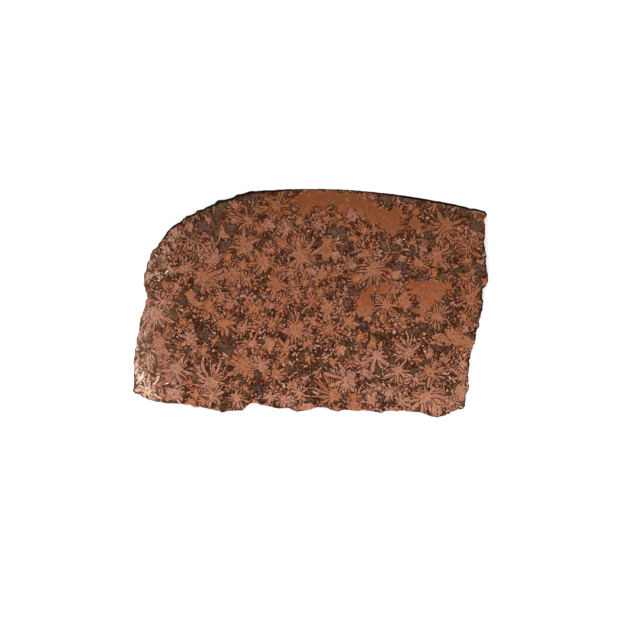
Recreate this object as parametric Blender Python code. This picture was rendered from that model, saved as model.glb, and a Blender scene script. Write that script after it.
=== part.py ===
"""Rhyolite slab: one sawn plate of flower rhyolite, lying flat on its back face.

The polished face looks up. The long edge towards +Y is the stone's smooth natural skin, and it leans out
towards the back. The other three sides are broken, so their walls have ledges, scallops and chipped corners.
Metres, +Z up, +X along the slab's length, origin in the middle of the back face's box.
"""

import math

import bmesh
import bpy
from mathutils import Vector, noise

MM = 0.001

# Driving dimensions
THICKNESS = 6.5 * MM
COLUMN_STEP = 1.3 * MM

# The skin edge is an arc over the top of the slab, from its left end to its right end
SKIN_RADIUS = 285 * MM
SKIN_CREST = (-1.0 * MM, 45.75 * MM)
SKIN_FROM_X = -22.2 * MM
SKIN_TO_X = 61.6 * MM
SKIN_STEPS = 12

# Corners of the broken sides in millimetres from the middle of the slab's box, clockwise seen from above
RIGHT_SIDE = (
    (64.0, 38.0), (65.8, 38.0), (67.8, 37.3), (70.2, 36.9), (70.6, 35.7), (69.8, 34.1), (69.4, 33.1),
    (69.9, 31.7), (69.7, 28.5), (69.4, 24.1), (70.3, 19.3), (70.0, 16.5), (70.6, 13.3),
    (70.9, 9.3), (70.2, 6.9), (68.8, 5.9), (68.7, 2.1), (69.2, -0.3), (68.9, -2.3),
    (67.2, -7.1), (67.3, -9.1), (66.4, -10.3), (65.9, -14.7), (64.2, -18.7), (64.0, -21.5),
    (63.4, -22.7), (63.7, -24.3), (62.8, -27.9), (63.4, -30.7), (63.5, -33.1), (62.0, -36.7),
    (61.8, -39.1), (62.0, -41.1), (61.2, -42.5),
)
LOWER_SIDE = (
    (58.6, -42.5), (53.8, -44.7), (51.0, -45.7), (48.6, -45.3), (44.2, -43.5), (35.0, -43.0),
    (30.6, -43.1), (28.2, -43.9), (25.0, -43.1), (13.8, -42.7), (11.0, -43.3), (6.2, -41.7),
    (3.0, -41.9), (-1.0, -42.7), (-4.2, -43.5), (-6.6, -43.1), (-9.0, -42.1), (-13.0, -41.9),
    (-17.0, -41.3), (-19.4, -40.3), (-21.4, -39.9), (-24.2, -40.1), (-25.8, -41.5), (-27.0, -42.7),
    (-33.0, -43.0), (-35.4, -43.7), (-39.8, -42.2), (-42.6, -41.9), (-48.6, -40.5), (-55.4, -39.7),
    (-59.0, -39.9), (-67.0, -37.5), (-68.2, -36.3), (-69.8, -35.9), (-70.9, -34.7),
)
LEFT_SIDE = (
    (-70.5, -32.7), (-70.4, -22.7), (-69.7, -17.1), (-68.7, -11.1), (-67.8, -5.9), (-66.0, -1.1),
    (-66.0, 1.3), (-65.2, 1.7), (-65.4, 3.7), (-66.6, 7.7), (-66.2, 12.1), (-65.2, 14.5),
    (-65.3, 16.3), (-64.0, 17.5), (-63.8, 19.5), (-63.0, 21.5),
)
SHOULDER = (
    (-61.6, 22.5), (-58.6, 26.9), (-55.8, 30.5), (-52.2, 32.5), (-51.0, 33.9), (-49.6, 34.9),
    (-47.8, 35.3), (-46.4, 36.1), (-45.4, 37.1), (-43.0, 37.7), (-38.6, 40.1), (-36.6, 41.4),
    (-33.0, 41.8), (-30.6, 42.6), (-29.6, 43.5), (-27.0, 43.9), (-24.2, 45.0),
)

# Wall rings from the back face to the polished face: height as a share of the thickness, and how far
# the chipped corners draw the ring in
WALL_RINGS = (
    (0.0, 0.50 * MM),
    (0.08, 0.15 * MM),
    (0.21, 0.0),
    (0.36, 0.0),
    (0.52, 0.0),
    (0.68, 0.0),
    (0.82, 0.0),
    (0.94, 0.05 * MM),
    (1.0, 0.20 * MM),
)

# The wall's lean: a mean, and what a side gains or loses by facing +Y or -Y. Positive flares to the back.
# Over a stretch round its crest the skin edge stands almost upright
LEAN_MEAN = 0.22 * MM
LEAN_TOWARDS_SKIN = 0.60 * MM
UPRIGHT_SHARE = 0.85
UPRIGHT_MIDDLE_X = 9 * MM
UPRIGHT_REACH = 34 * MM

# Relief of the broken walls, measured inwards from crests that stand proud of the outline.
# The skin side keeps only a share of it
CREST_HEIGHT = 0.22 * MM
SCALLOP_SIZE = 4.5 * MM
SCALLOP_DEPTH = 1.1 * MM
LEDGE_SIZE = 1.9 * MM
LEDGE_DEPTH = 0.45 * MM
CHIP_SIZE = 2.6 * MM
CHIP_DEPTH = 0.40 * MM
SKIN_RELIEF_SHARE = 0.25
SKIN_FACING = 0.86

# Mean colour of the polished stone, linear
STONE_COLOUR = (0.220, 0.085, 0.047, 1.0)
STONE_ROUGHNESS = 0.34


def clear_scene():
    for old in list(bpy.data.objects):
        bpy.data.objects.remove(old, do_unlink=True)


def skin_edge():
    """Points of the natural edge, on a circle whose highest point is the crest."""
    points = []
    for step in range(SKIN_STEPS + 1):
        x = SKIN_FROM_X + (SKIN_TO_X - SKIN_FROM_X) * step / SKIN_STEPS
        drop = SKIN_RADIUS - math.sqrt(SKIN_RADIUS**2 - (x - SKIN_CREST[0]) ** 2)
        points.append(Vector((x, SKIN_CREST[1] - drop)))
    return points


def outline_corners():
    """The slab's outline, clockwise: the skin edge, then the three broken sides."""
    broken = RIGHT_SIDE + LOWER_SIDE + LEFT_SIDE + SHOULDER
    return skin_edge() + [Vector(corner) * MM for corner in broken]


def outline_columns(corners):
    """(point, outward normal) of each wall column. Long stretches between corners get columns of their own."""
    points = []
    for here, ahead in zip(corners, corners[1:] + corners[:1]):
        pieces = max(1, round((ahead - here).length / COLUMN_STEP))
        points += [here.lerp(ahead, piece / pieces) for piece in range(pieces)]
    columns = []
    for index, point in enumerate(points):
        along = points[(index + 1) % len(points)] - points[index - 1]
        columns.append((point, Vector((-along.y, along.x)).normalized()))
    return columns


def lean_inset(point, facing_y, share):
    """How far the leaning wall lies inside the outline at a share of the height."""
    lean = LEAN_MEAN + LEAN_TOWARDS_SKIN * facing_y
    if facing_y > SKIN_FACING:
        from_middle = (point.x - UPRIGHT_MIDDLE_X) / UPRIGHT_REACH
        lean *= 1 - UPRIGHT_SHARE * max(0.0, 1 - from_middle**2)
    return lean * share if lean > 0 else -lean * (1 - share)


def wall_relief(point, facing_y, height):
    """How deep scallops, ledges and corner chips bite into the wall at a point."""
    place = Vector((point.x, point.y, height))
    nearest = noise.voronoi(place / SCALLOP_SIZE)[0][0]
    scallop = SCALLOP_DEPTH * max(0.0, 1.0 - nearest) ** 2
    ledge = LEDGE_DEPTH * (0.5 + 0.5 * noise.noise(place / LEDGE_SIZE))
    off_middle = abs(2 * height / THICKNESS - 1)
    chip = CHIP_DEPTH * off_middle**4 * max(0.0, noise.noise(place / CHIP_SIZE))
    share = SKIN_RELIEF_SHARE if facing_y > SKIN_FACING else 1.0
    return share * (scallop + ledge + chip - CREST_HEIGHT)


def ring_points(columns, share, corner_inset):
    """One closed ring of the wall at a share of the thickness, drawn in towards the slab's middle."""
    height = share * THICKNESS
    ring = []
    for point, normal in columns:
        inset = corner_inset + lean_inset(point, normal.y, share)
        inset += wall_relief(point, normal.y, height)
        inwards = point * (1 - inset / point.length)
        ring.append(Vector((inwards.x, inwards.y, height)))
    return ring


def centred(rings):
    """The rings moved so that their common box is centred on the origin in X and Y."""
    every = [point for ring in rings for point in ring]
    middle_x = (min(p.x for p in every) + max(p.x for p in every)) / 2
    middle_y = (min(p.y for p in every) + max(p.y for p in every)) / 2
    shift = Vector((middle_x, middle_y, 0.0))
    return [[point - shift for point in ring] for ring in rings]


def slab_mesh():
    """Two flat faces, and between them a wall of quads that joins ring to ring."""
    columns = outline_columns(outline_corners())
    rings = centred([ring_points(columns, share, inset) for share, inset in WALL_RINGS])
    shape = bmesh.new()
    loops = [[shape.verts.new(point) for point in ring] for ring in rings]
    count = len(columns)
    for lower, upper in zip(loops, loops[1:]):
        for index in range(count):
            ahead = (index + 1) % count
            shape.faces.new((lower[ahead], lower[index], upper[index], upper[ahead]))
    shape.faces.new(loops[0])
    shape.faces.new(reversed(loops[-1]))
    bmesh.ops.recalc_face_normals(shape, faces=shape.faces)
    mesh = bpy.data.meshes.new("rhyolite_slab")
    shape.to_mesh(mesh)
    shape.free()
    return mesh


def stone_material():
    material = bpy.data.materials.new("flower_rhyolite")
    material.use_nodes = True
    surface = material.node_tree.nodes["Principled BSDF"]
    surface.inputs["Base Color"].default_value = STONE_COLOUR
    surface.inputs["Roughness"].default_value = STONE_ROUGHNESS
    surface.inputs["Metallic"].default_value = 0.0
    return material


def build():
    clear_scene()
    slab = bpy.data.objects.new("rhyolite_slab", slab_mesh())
    slab.data.materials.append(stone_material())
    bpy.context.scene.collection.objects.link(slab)


build()
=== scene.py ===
"""Looks of the rhyolite slab: its fine broken surface, its flower-patterned stone and a plain studio.

The stone is treated as a solid. Every flower in it is a bundle of needles, and each small face of the
surface carries the few needles that pass through it, as attributes. The material works their shapes out again
at every point, so a petal's edge stays sharp however close the view is. Lengths here are millimetres unless a
comment says otherwise, and the mesh is written in metres.
"""

import logging
import math
from dataclasses import dataclass, field, fields
from enum import Enum
from itertools import product
from typing import Sequence, Union

import bpy
import numpy as np
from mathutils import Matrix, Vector


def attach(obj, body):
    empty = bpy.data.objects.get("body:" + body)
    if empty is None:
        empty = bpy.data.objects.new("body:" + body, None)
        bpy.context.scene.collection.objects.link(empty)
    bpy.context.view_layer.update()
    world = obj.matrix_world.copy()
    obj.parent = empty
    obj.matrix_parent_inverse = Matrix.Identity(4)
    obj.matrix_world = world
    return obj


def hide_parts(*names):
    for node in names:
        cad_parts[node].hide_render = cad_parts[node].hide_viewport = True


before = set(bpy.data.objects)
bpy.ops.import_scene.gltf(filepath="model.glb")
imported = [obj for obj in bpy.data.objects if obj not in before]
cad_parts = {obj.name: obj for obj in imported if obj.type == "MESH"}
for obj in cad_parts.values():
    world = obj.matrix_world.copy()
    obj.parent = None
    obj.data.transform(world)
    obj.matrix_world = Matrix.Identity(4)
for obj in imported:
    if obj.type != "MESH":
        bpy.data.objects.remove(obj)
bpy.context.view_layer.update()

log = logging.getLogger("rhyolite_slab")

# The two ends of a random draw or of a soft step, and a colour in linear light
Span = tuple[float, float]
Colour = tuple[float, float, float]

MM = 0.001
NODE = "rhyolite_slab"
FULL_TURN = 2 * math.pi
GOLDEN_ANGLE = math.pi * (3 - math.sqrt(5))

# The stone's own frame: the polished face is at this height over the back face
THICKNESS = 6.5
NEEDLES_PER_FACE = 8

# Fixed random numbers come from a tall sine: how fast its angle grows along X, Y and Z and from one seed to
# the next, and its height
SINE_GROWTH = (127.1, 311.7, 74.7)
SINE_SEED_STEP = 19.19
SINE_HEIGHT = 43758.5453

# How far a shader noise's seed of 1 moves it along X, Y and Z
NOISE_SEED_STEP = (17.3, 9.1, 5.7)

# A flake of a brittle break: how far it is raised or sunk, and how steeply it tilts
FLAKE_STEP = 1.2
FLAKE_TILT = 1.6


class Tone(Enum):
    """Where a needle's colour lies on the stone's colour ramp. Pool is bare matrix, with no needles in it."""

    POOL = -1.0
    RUST = 0.22
    ORANGE = 0.32
    BROWN = 0.42
    PINK = 0.55
    TAN = 0.72
    PALE = 0.88
    WHITE = 1.0


class Style(Enum):
    """A flower's build: petals, their half width as a share of its size, bluntness, core radius share."""

    STAR = (16, 0.124, 3.3, 0.24)
    BURST = (22, 0.084, 3.0, 0.21)
    DISC = (13, 0.150, 3.6, 0.42)
    THREADS = (6, 0.060, 3.0, 0.02)


class Rank(Enum):
    """What lies over what: the lowest rank of each kind. Loose rods and small flowers lie from -1 to 2."""

    POOL = -2.0
    SEEDED = 2.0
    EVEN_AREA = 2.9
    PLACED = 3.0
    EYE = 15.0
    SPECK = 20.0


@dataclass
class Needles:
    """Many needles as arrays. Each runs from root to tip, is widest past its middle and tapers to its tip.

    Its half width at a share s of its length is
    half_width * (ROOT_SHARE + SWELL * s) * (1 - s ** bluntness) ** TAPER.
    The needle of the higher rank lies over the other.
    """

    ROOT_SHARE = 0.55
    SWELL = 0.9
    TAPER = 0.75

    root: np.ndarray
    tip: np.ndarray
    half_width: np.ndarray
    bluntness: np.ndarray
    tone: np.ndarray
    rank: np.ndarray

    @classmethod
    def joined(cls, bundles: Sequence["Needles"]) -> "Needles":
        """All needles of several bundles as one bundle."""
        names = [part.name for part in fields(cls)]
        return cls(*(np.concatenate([getattr(bundle, name) for bundle in bundles]) for name in names))

    def some(self, chosen: np.ndarray) -> "Needles":
        """The needles that a mask or a list of indices chooses."""
        return Needles(*(getattr(self, part.name)[chosen] for part in fields(self)))

    def corners(self) -> tuple[np.ndarray, np.ndarray]:
        """The lowest and the highest corner of each needle's box."""
        width = self.half_width[:, None]
        return np.minimum(self.root, self.tip) - width, np.maximum(self.root, self.tip) + width

    def depth(self, points: np.ndarray) -> np.ndarray:
        """How deep each point lies inside each needle: the half width there less the distance to the axis.

        Args:
            points: places, (P, 3).

        Returns:
            Depths, (P, N), below zero outside the needle.
        """
        axis = self.tip - self.root
        reach = points[:, None, :] - self.root[None, :, :]
        share = np.sum(reach * axis[None], axis=-1) / np.sum(axis * axis, axis=-1)[None]
        share = np.clip(share, 0, 1)
        aside = np.linalg.norm(reach - share[..., None] * axis[None], axis=-1)
        width = self.half_width[None] * (self.ROOT_SHARE + self.SWELL * share)
        width = width * (1 - share ** self.bluntness[None]) ** self.TAPER
        return width - aside


@dataclass(frozen=True)
class Flower:
    """One spherulite that a face cuts through the middle.

    lean_deg is the direction of its longest petals, counted from +X, and lean how much longer they are.
    """

    x: float
    y: float
    reach: float
    style: Style
    tone: Tone
    lean_deg: float = 0.0
    lean: float = 0.0

    def lengthening(self, angle: np.ndarray, share: float = 1.0) -> np.ndarray:
        """How much longer it is in each direction: 1 + share * lean * cos(angle - lean_deg)."""
        return 1 + share * self.lean * np.cos(angle - math.radians(self.lean_deg))


@dataclass(frozen=True)
class Patch:
    """An even area of one tone: a round-ended band from one point to another."""

    BLUNTNESS = 9.0
    LEAST_LENGTH = 0.1
    OVERSHOOT = 0.15

    x: float
    y: float
    to_x: float
    to_y: float
    half_width: float
    tone: Tone = Tone.POOL

    def needle(self, rank: float) -> Needles:
        """The band as one wide blunt needle in the polished face, longer since needles end narrow.

        Args:
            rank: what it lies over.

        Returns:
            The needle.
        """
        start = np.array(((self.x, self.y, THICKNESS),))
        end = np.array(((self.to_x + self.LEAST_LENGTH, self.to_y, THICKNESS),))
        return Needles(
            root=start, tip=end + (end - start) * self.OVERSHOOT,
            half_width=np.array([self.half_width]), bluntness=np.array([self.BLUNTNESS]),
            tone=np.array([self.tone.value]), rank=np.array([rank]),
        )


# Where things lie on the polished face, from the photograph, in millimetres from the slab's middle.
# A flower is x, y, reach, style and tone, and the direction and amount of its lean. A patch is its two ends,
# half width and tone, and is a pool of bare matrix where it names none
STAR, BURST, DISC, THREADS = Style
POOL, RUST, ORANGE, BROWN, PINK, TAN, PALE, WHITE = Tone
FLOWERS = tuple(Flower(*row) for row in (
    # Left end, where the stone is bleached
    (-65.0, -34.7, 6.0, BURST, TAN, 20, 0.2), (-69.4, -24.5, 3.4, STAR, TAN), (-70.0, -18.0, 2.6, STAR, PALE),
    (-67.5, -30.0, 2.6, STAR, PALE), (-62.2, -4.3, 7.0, STAR, PINK, -90, 0.4), (-58.2, 0.5, 3.6, STAR, PINK),
    (-63.5, 16.5, 3.0, STAR, TAN), (-64.5, 10.5, 3.0, STAR, TAN), (-55.3, 29.0, 1.6, DISC, TAN),
    (-52.7, 27.1, 1.6, DISC, TAN), (-58.0, 17.6, 1.5, DISC, TAN), (-56.6, 20.4, 1.4, DISC, TAN),
    (-54.6, 22.9, 1.5, DISC, TAN), (-55.8, 13.6, 1.5, DISC, TAN), (-61.0, 12.0, 1.4, DISC, TAN),
    (-60.5, -15.0, 3.2, DISC, BROWN), (-58.0, -24.0, 3.4, STAR, BROWN), (-54.0, -36.5, 3.8, DISC, PINK),
    (-57.5, 15.0, 3.0, STAR, PINK), (-57.5, 21.5, 2.6, DISC, TAN), (-54.0, 28.0, 3.8, STAR, TAN),
    (-53.0, -26.0, 6.0, STAR, PINK),
    # Upper left
    (-50.5, 13.5, 5.0, STAR, PINK), (-42.0, 10.0, 7.5, STAR, BROWN, -60, 0.35),
    (-31.0, 11.5, 4.2, DISC, ORANGE), (-26.0, 23.0, 7.0, STAR, BROWN),
    (-38.0, 17.5, 5.5, STAR, PINK, 160, 0.5), (-24.5, 33.0, 5.6, BURST, BROWN, 140, 0.4),
    (-48.5, 31.0, 2.4, DISC, PINK), (-48.5, 25.0, 5.5, THREADS, PINK), (-25.0, 10.0, 3.6, STAR, BROWN),
    (-17.0, 31.0, 3.2, DISC, PINK), (-46.5, 19.5, 3.5, THREADS, PINK), (-29.5, 39.0, 4.0, BURST, PINK),
    # Upper middle
    (-13.5, 38.5, 7.5, BURST, ORANGE, 90, 0.2), (-9.5, 29.3, 4.4, STAR, PINK), (-3.5, 18.5, 8.0, STAR, BROWN),
    (4.5, 11.7, 4.0, DISC, BROWN), (-19.0, 16.5, 6.5, STAR, BROWN), (-13.5, 7.3, 6.5, STAR, ORANGE),
    (7.0, 33.7, 2.4, DISC, ORANGE), (3.0, 31.3, 3.4, STAR, PINK), (16.6, 34.5, 3.2, DISC, PINK),
    (21.5, 29.0, 4.0, STAR, ORANGE), (16.2, 15.7, 5.5, BURST, PINK), (21.8, 19.7, 3.0, DISC, ORANGE),
    (11.5, 13.3, 3.0, STAR, PINK), (9.0, 7.3, 3.0, STAR, BROWN), (-4.2, 32.5, 2.6, DISC, BROWN),
    (-2.0, 8.5, 4.0, STAR, ORANGE), (-7.5, 7.0, 3.6, STAR, ORANGE), (-10.5, 1.5, 3.6, STAR, ORANGE),
    (0.5, 13.0, 3.4, STAR, PINK), (-8.0, 12.5, 3.4, STAR, BROWN), (-15.5, 20.5, 4.0, STAR, BROWN),
    (9.5, 11.5, 3.4, STAR, ORANGE), (-15.0, -8.5, 4.2, STAR, ORANGE), (31.0, -36.0, 4.0, STAR, PINK),
    (22.0, -27.5, 4.0, STAR, PINK), (-5.5, 3.5, 3.8, STAR, BROWN),
    # Round the rust areas
    (-2.0, 37.5, 3.2, DISC, RUST, -90, 0.3), (14.0, 38.0, 2.8, DISC, RUST, -90, 0.3),
    (33.0, 33.0, 6.2, DISC, RUST, -20, 0.2), (26.0, 34.5, 4.4, DISC, RUST, -120, 0.2),
    (21.5, -2.0, 4.4, STAR, RUST, 200, 0.3), (33.0, 4.5, 4.0, STAR, ORANGE),
    (46.0, 2.0, 4.6, DISC, RUST, -60, 0.3), (42.0, 4.5, 4.4, STAR, RUST, 180, 0.4),
    (57.0, -12.5, 4.2, DISC, ORANGE, 90, 0.3), (-7.0, 41.0, 2.8, STAR, RUST), (6.0, 39.6, 3.0, STAR, RUST),
    (19.5, 36.4, 3.4, STAR, RUST), (12.0, 37.4, 2.6, STAR, RUST), (28.5, 30.6, 3.0, STAR, RUST),
    (36.8, 30.4, 3.2, BURST, RUST), (37.4, 35.0, 3.0, STAR, RUST), (25.5, 39.5, 2.6, STAR, RUST),
    (39.0, 6.4, 3.0, STAR, RUST), (54.5, 6.5, 3.2, STAR, RUST), (19.0, 0.5, 3.0, STAR, RUST),
    (24.5, 42.4, 2.6, BURST, PINK), (34.5, 40.6, 2.2, BURST, PINK),
    # Upper right
    (41.8, 31.3, 3.6, DISC, RUST), (41.8, 36.0, 2.0, DISC, ORANGE), (53.4, 30.0, 7.0, STAR, ORANGE),
    (50.6, 18.5, 6.5, STAR, BROWN), (63.0, 21.3, 6.0, BURST, ORANGE), (62.2, 17.3, 3.6, BURST, BROWN),
    (25.4, 13.7, 7.5, BURST, BROWN, -60, 0.3), (33.8, 11.0, 2.6, DISC, PINK), (43.0, 15.7, 5.0, BURST, BROWN),
    (59.0, 25.3, 4.5, BURST, BROWN), (31.8, 20.5, 5.5, THREADS, PINK),
    # Lower left
    (-39.8, -1.5, 5.6, STAR, ORANGE), (-50.6, -7.5, 4.2, STAR, ORANGE), (-34.2, -7.5, 5.6, STAR, ORANGE),
    (-47.8, -14.0, 5.4, STAR, PINK), (-27.0, -9.5, 3.8, STAR, BROWN),
    (-40.2, -32.0, 8.0, BURST, PINK, 90, 0.35), (-26.6, -24.3, 7.6, STAR, ORANGE),
    (-38.0, -36.7, 5.0, BURST, PINK), (-29.4, -38.0, 4.5, BURST, PINK),
    # Lower middle
    (-22.2, -2.0, 5.0, STAR, ORANGE), (-16.2, -16.0, 3.4, DISC, BROWN), (-15.5, -1.0, 3.4, STAR, BROWN),
    (0.5, 1.0, 3.6, STAR, ORANGE), (1.0, -7.5, 4.0, STAR, BROWN), (-13.5, -28.0, 4.6, STAR, ORANGE),
    (-23.4, -15.5, 4.0, STAR, BROWN), (-5.4, -10.3, 7.2, STAR, BROWN), (6.6, -2.0, 5.0, STAR, BROWN),
    (7.4, -10.3, 5.5, STAR, ORANGE), (15.0, -7.5, 5.0, STAR, BROWN),
    (9.4, -36.3, 7.0, BURST, ORANGE, 140, 0.5), (14.6, -30.7, 7.0, STAR, PINK, 180, 0.5),
    (-19.4, -25.0, 5.0, STAR, PINK), (-4.2, -36.0, 4.0, STAR, PINK), (-20.0, -7.5, 3.0, STAR, BROWN),
    # Lower right
    (30.2, -0.7, 6.0, BURST, BROWN), (29.0, -6.0, 2.4, DISC, ORANGE), (50.6, -4.7, 6.0, BURST, BROWN),
    (63.0, -7.1, 2.2, DISC, RUST), (63.8, 1.7, 6.5, BURST, ORANGE), (26.2, -21.0, 6.0, STAR, PINK),
    (34.6, -27.0, 6.0, BURST, PINK), (48.2, -27.5, 5.5, STAR, BROWN),
    (45.4, -37.0, 7.5, BURST, PINK, -60, 0.4), (53.0, -22.3, 3.5, STAR, BROWN),
    (60.6, -24.0, 4.0, BURST, PINK), (39.0, -19.5, 6.0, BURST, PINK, 130, 0.5),
    (36.5, -39.5, 4.0, STAR, PINK), (56.0, -39.5, 3.6, STAR, PINK), (60.5, -29.5, 3.6, STAR, PINK),
    (50.5, -42.5, 3.2, DISC, PINK), (-10.0, -38.0, 4.2, STAR, PINK), (-8.0, -32.5, 3.2, DISC, BROWN),
    (-16.0, -37.5, 4.0, STAR, PINK), (20.5, -24.0, 3.6, STAR, BROWN), (24.0, -38.5, 4.0, STAR, PINK),
    (-10.0, -17.5, 4.0, STAR, BROWN), (-11.5, -22.0, 3.2, STAR, ORANGE), (3.4, 4.4, 3.2, STAR, ORANGE),
))
PATCHES = tuple(Patch(*row) for row in (
    # Even rust and pink areas
    (-4.0, 40.4, 4.0, 42.5, 2.9, RUST), (2.0, 42.0, 10.0, 42.4, 2.0, RUST),
    (8.5, 41.4, 18.0, 40.2, 3.2, RUST), (16.0, 40.5, 26.0, 36.5, 2.6, RUST),
    (24.0, 37.0, 34.0, 32.0, 2.9, RUST), (31.0, 35.5, 35.0, 36.0, 2.2, RUST),
    (30.0, 31.5, 34.5, 29.5, 2.2, RUST), (21.8, 4.0, 21.4, -4.2, 3.2, RUST),
    (21.0, 5.2, 33.0, 6.8, 2.0, RUST), (41.0, 7.2, 52.0, 5.4, 2.8, RUST), (44.6, 2.6, 48.0, 0.4, 2.8, RUST),
    (41.0, -2.3, 45.4, -3.9, 1.1, RUST), (50.2, -13.5, 63.8, -15.9, 2.0, ORANGE),
    (54.6, -11.5, 60.2, -11.9, 2.1, ORANGE), (60.0, -33.2, 59.2, -38.0, 2.7, PINK),
    (-60.0, -12.0, -58.5, -23.0, 1.9, BROWN), (-55.5, -35.5, -51.5, -37.0, 1.8, PINK),
    # Bare matrix
    (28.0, 42.0, 31.5, 41.6, 1.5), (37.0, 41.0, 44.0, 40.2, 1.5), (47.0, 39.2, 52.0, 38.4, 1.0),
    (58.0, 37.4, 63.0, 36.4, 1.0), (-41.0, 36.0, -33.0, 39.0, 2.2), (-39.5, 33.8, -36.5, 35.2, 1.4),
    (-45.5, 33.5, -45.0, 31.5, 1.3), (0.5, -25.5, 2.5, -26.5, 1.3), (4.5, -28.5, 7.0, -27.8, 1.3),
    (-48.0, 17.5, -47.0, 16.5, 1.2), (-34.5, 41.0, -31.0, 41.8, 1.2), (-25.0, 42.0, -21.0, 42.6, 1.2),
    (-46.0, 29.0, -45.0, 27.5, 1.5), (-38.5, 28.5, -36.5, 27.0, 1.5), (46.0, -31.0, 47.5, -31.5, 1.3),
    (52.5, -29.5, 53.5, -31.0, 1.4), (-43.5, 32.5, -42.3, 29.0, 2.5), (-38.0, 31.5, -36.5, 31.5, 2.0),
    (-42.5, 26.5, -42.0, 25.0, 1.4), (-20.0, 25.5, -14.0, 23.5, 1.2), (28.5, 23.5, 35.0, 19.0, 2.8),
    (48.5, -16.5, 52.0, -18.5, 1.3), (-55.5, -4.0, -54.0, -5.0, 2.0), (-44.5, -11.0, -41.0, -12.5, 1.8),
    (-36.5, -16.5, -31.0, -19.5, 2.2), (-45.5, 3.0, -44.0, 1.5, 1.5), (-35.5, 21.0, -33.5, 24.5, 1.7),
    (-26.0, -20.5, -24.0, -17.0, 1.5), (-19.8, -15.5, -19.8, -14.5, 1.4), (-2.5, -3.5, 0.5, -5.0, 1.2),
    (1.0, -12.0, 1.5, -12.5, 1.5), (11.0, -5.0, 11.0, -6.5, 1.5), (13.6, 2.0, 14.0, 0.0, 1.4),
    (8.0, 29.0, 13.5, 28.5, 1.9), (1.5, 23.5, 3.0, 23.5, 1.2), (-10.0, -24.0, -8.0, -27.5, 1.4),
    (-22.0, -34.0, -19.5, -32.5, 1.5), (-10.0, -31.0, -9.0, -30.5, 1.2), (-4.5, -38.6, 0.5, -39.2, 1.3),
    (32.0, 15.0, 36.0, 14.0, 1.7), (37.5, 12.0, 37.5, 11.5, 1.9), (42.0, 10.0, 46.0, 10.5, 1.4),
    (50.0, 11.0, 53.0, 10.5, 1.3), (-28.0, 2.0, -27.0, 0.0, 1.4), (-33.5, 31.0, -31.5, 28.0, 1.8),
    (-46.0, -29.5, -45.0, -31.0, 1.4), (10.5, -24.5, 12.5, -25.5, 1.5), (-46.5, 21.0, -44.5, 18.5, 1.9),
    (-50.5, 0.0, -49.5, -1.0, 1.3), (-54.8, -16.0, -54.3, -18.0, 1.2), (-36.0, -25.0, -35.5, -26.5, 1.2),
    (-49.0, 27.5, -47.0, 29.0, 1.3), (58.5, 13.0, 62.0, 14.0, 1.3), (15.5, 6.5, 17.0, 4.5, 1.2),
    (20.5, -15.0, 22.5, -16.0, 1.2), (45.5, 27.0, 49.0, 25.0, 1.7), (53.5, 37.0, 54.5, 37.0, 1.7),
    (45.5, 38.5, 46.0, 38.0, 1.5), (38.0, -11.0, 41.0, -12.5, 1.5), (44.0, -8.5, 47.0, -10.0, 1.8),
    (54.0, -18.5, 55.0, -20.5, 1.7), (58.5, -20.0, 59.5, -20.0, 1.3), (56.5, -28.0, 57.0, -28.5, 1.4),
    (41.5, -27.5, 42.0, -28.0, 2.1), (31.0, -22.0, 34.0, -23.5, 1.7), (37.5, -24.0, 38.0, -24.0, 1.5),
    (44.0, -24.0, 48.0, -23.0, 1.4), (24.0, -29.5, 25.0, -30.0, 0.9), (51.0, 3.0, 54.0, 3.0, 1.7),
    (50.5, -0.8, 54.5, -0.2, 1.7), (64.5, -5.5, 67.0, -6.5, 1.4), (64.0, -12.5, 66.0, -14.0, 1.4),
    (67.5, 14.5, 68.0, 12.0, 2.2), (67.0, 8.5, 67.5, 8.0, 1.9), (64.0, 31.0, 68.0, 29.5, 1.9),
))
# Thin pale streaks on the even rust areas
HAIRS = tuple(Patch(*row) for row in (
    (5.6, 42.6, 7.3, 41.4, 0.15, BROWN), (13.9, 42.1, 14.9, 40.8, 0.16, PINK),
    (8.1, 39.9, 9.7, 41.1, 0.15, PINK), (-3.9, 38.3, -3.2, 39.1, 0.15, PINK),
    (6.1, 37.0, 7.9, 38.6, 0.16, BROWN), (11.6, 39.0, 13.4, 38.8, 0.14, BROWN),
    (17.7, 43.6, 19.4, 42.4, 0.15, BROWN), (-1.2, 41.8, -0.4, 43.0, 0.14, BROWN),
    (21.0, 38.9, 22.0, 38.2, 0.14, BROWN), (28.5, 35.2, 29.6, 34.1, 0.14, BROWN),
    (32.4, 31.6, 33.3, 32.6, 0.14, BROWN), (21.2, 2.4, 22.2, 1.6, 0.15, PINK),
    (20.2, -1.0, 20.9, -2.2, 0.14, BROWN), (24.6, 5.2, 26.0, 5.8, 0.14, BROWN),
    (43.6, 7.6, 44.8, 6.9, 0.15, BROWN), (47.6, 3.2, 48.4, 4.2, 0.15, PINK),
    (45.2, 1.2, 46.0, 0.4, 0.14, BROWN), (56.5, -14.8, 57.8, -14.3, 0.15, PINK),
))
# Small white specks, painted glints
PAINTED_GLINTS = tuple(Patch(*row, WHITE) for row in (
    (11.0, 25.2, 11.0, 25.6, 0.26), (11.0, 26.9, 11.1, 27.1, 0.22), (2.2, 7.7, 2.4, 7.7, 0.24),
    (37.4, 26.0, 37.5, 26.2, 0.26), (-10.6, -23.9, -10.5, -24.0, 0.28), (-13.4, -29.5, -13.3, -29.3, 0.24),
    (-14.6, -36.7, -14.4, -36.7, 0.26), (45.8, -12.3, 45.9, -12.3, 0.24), (-22.6, -31.5, -22.5, -31.6, 0.22),
))


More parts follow.
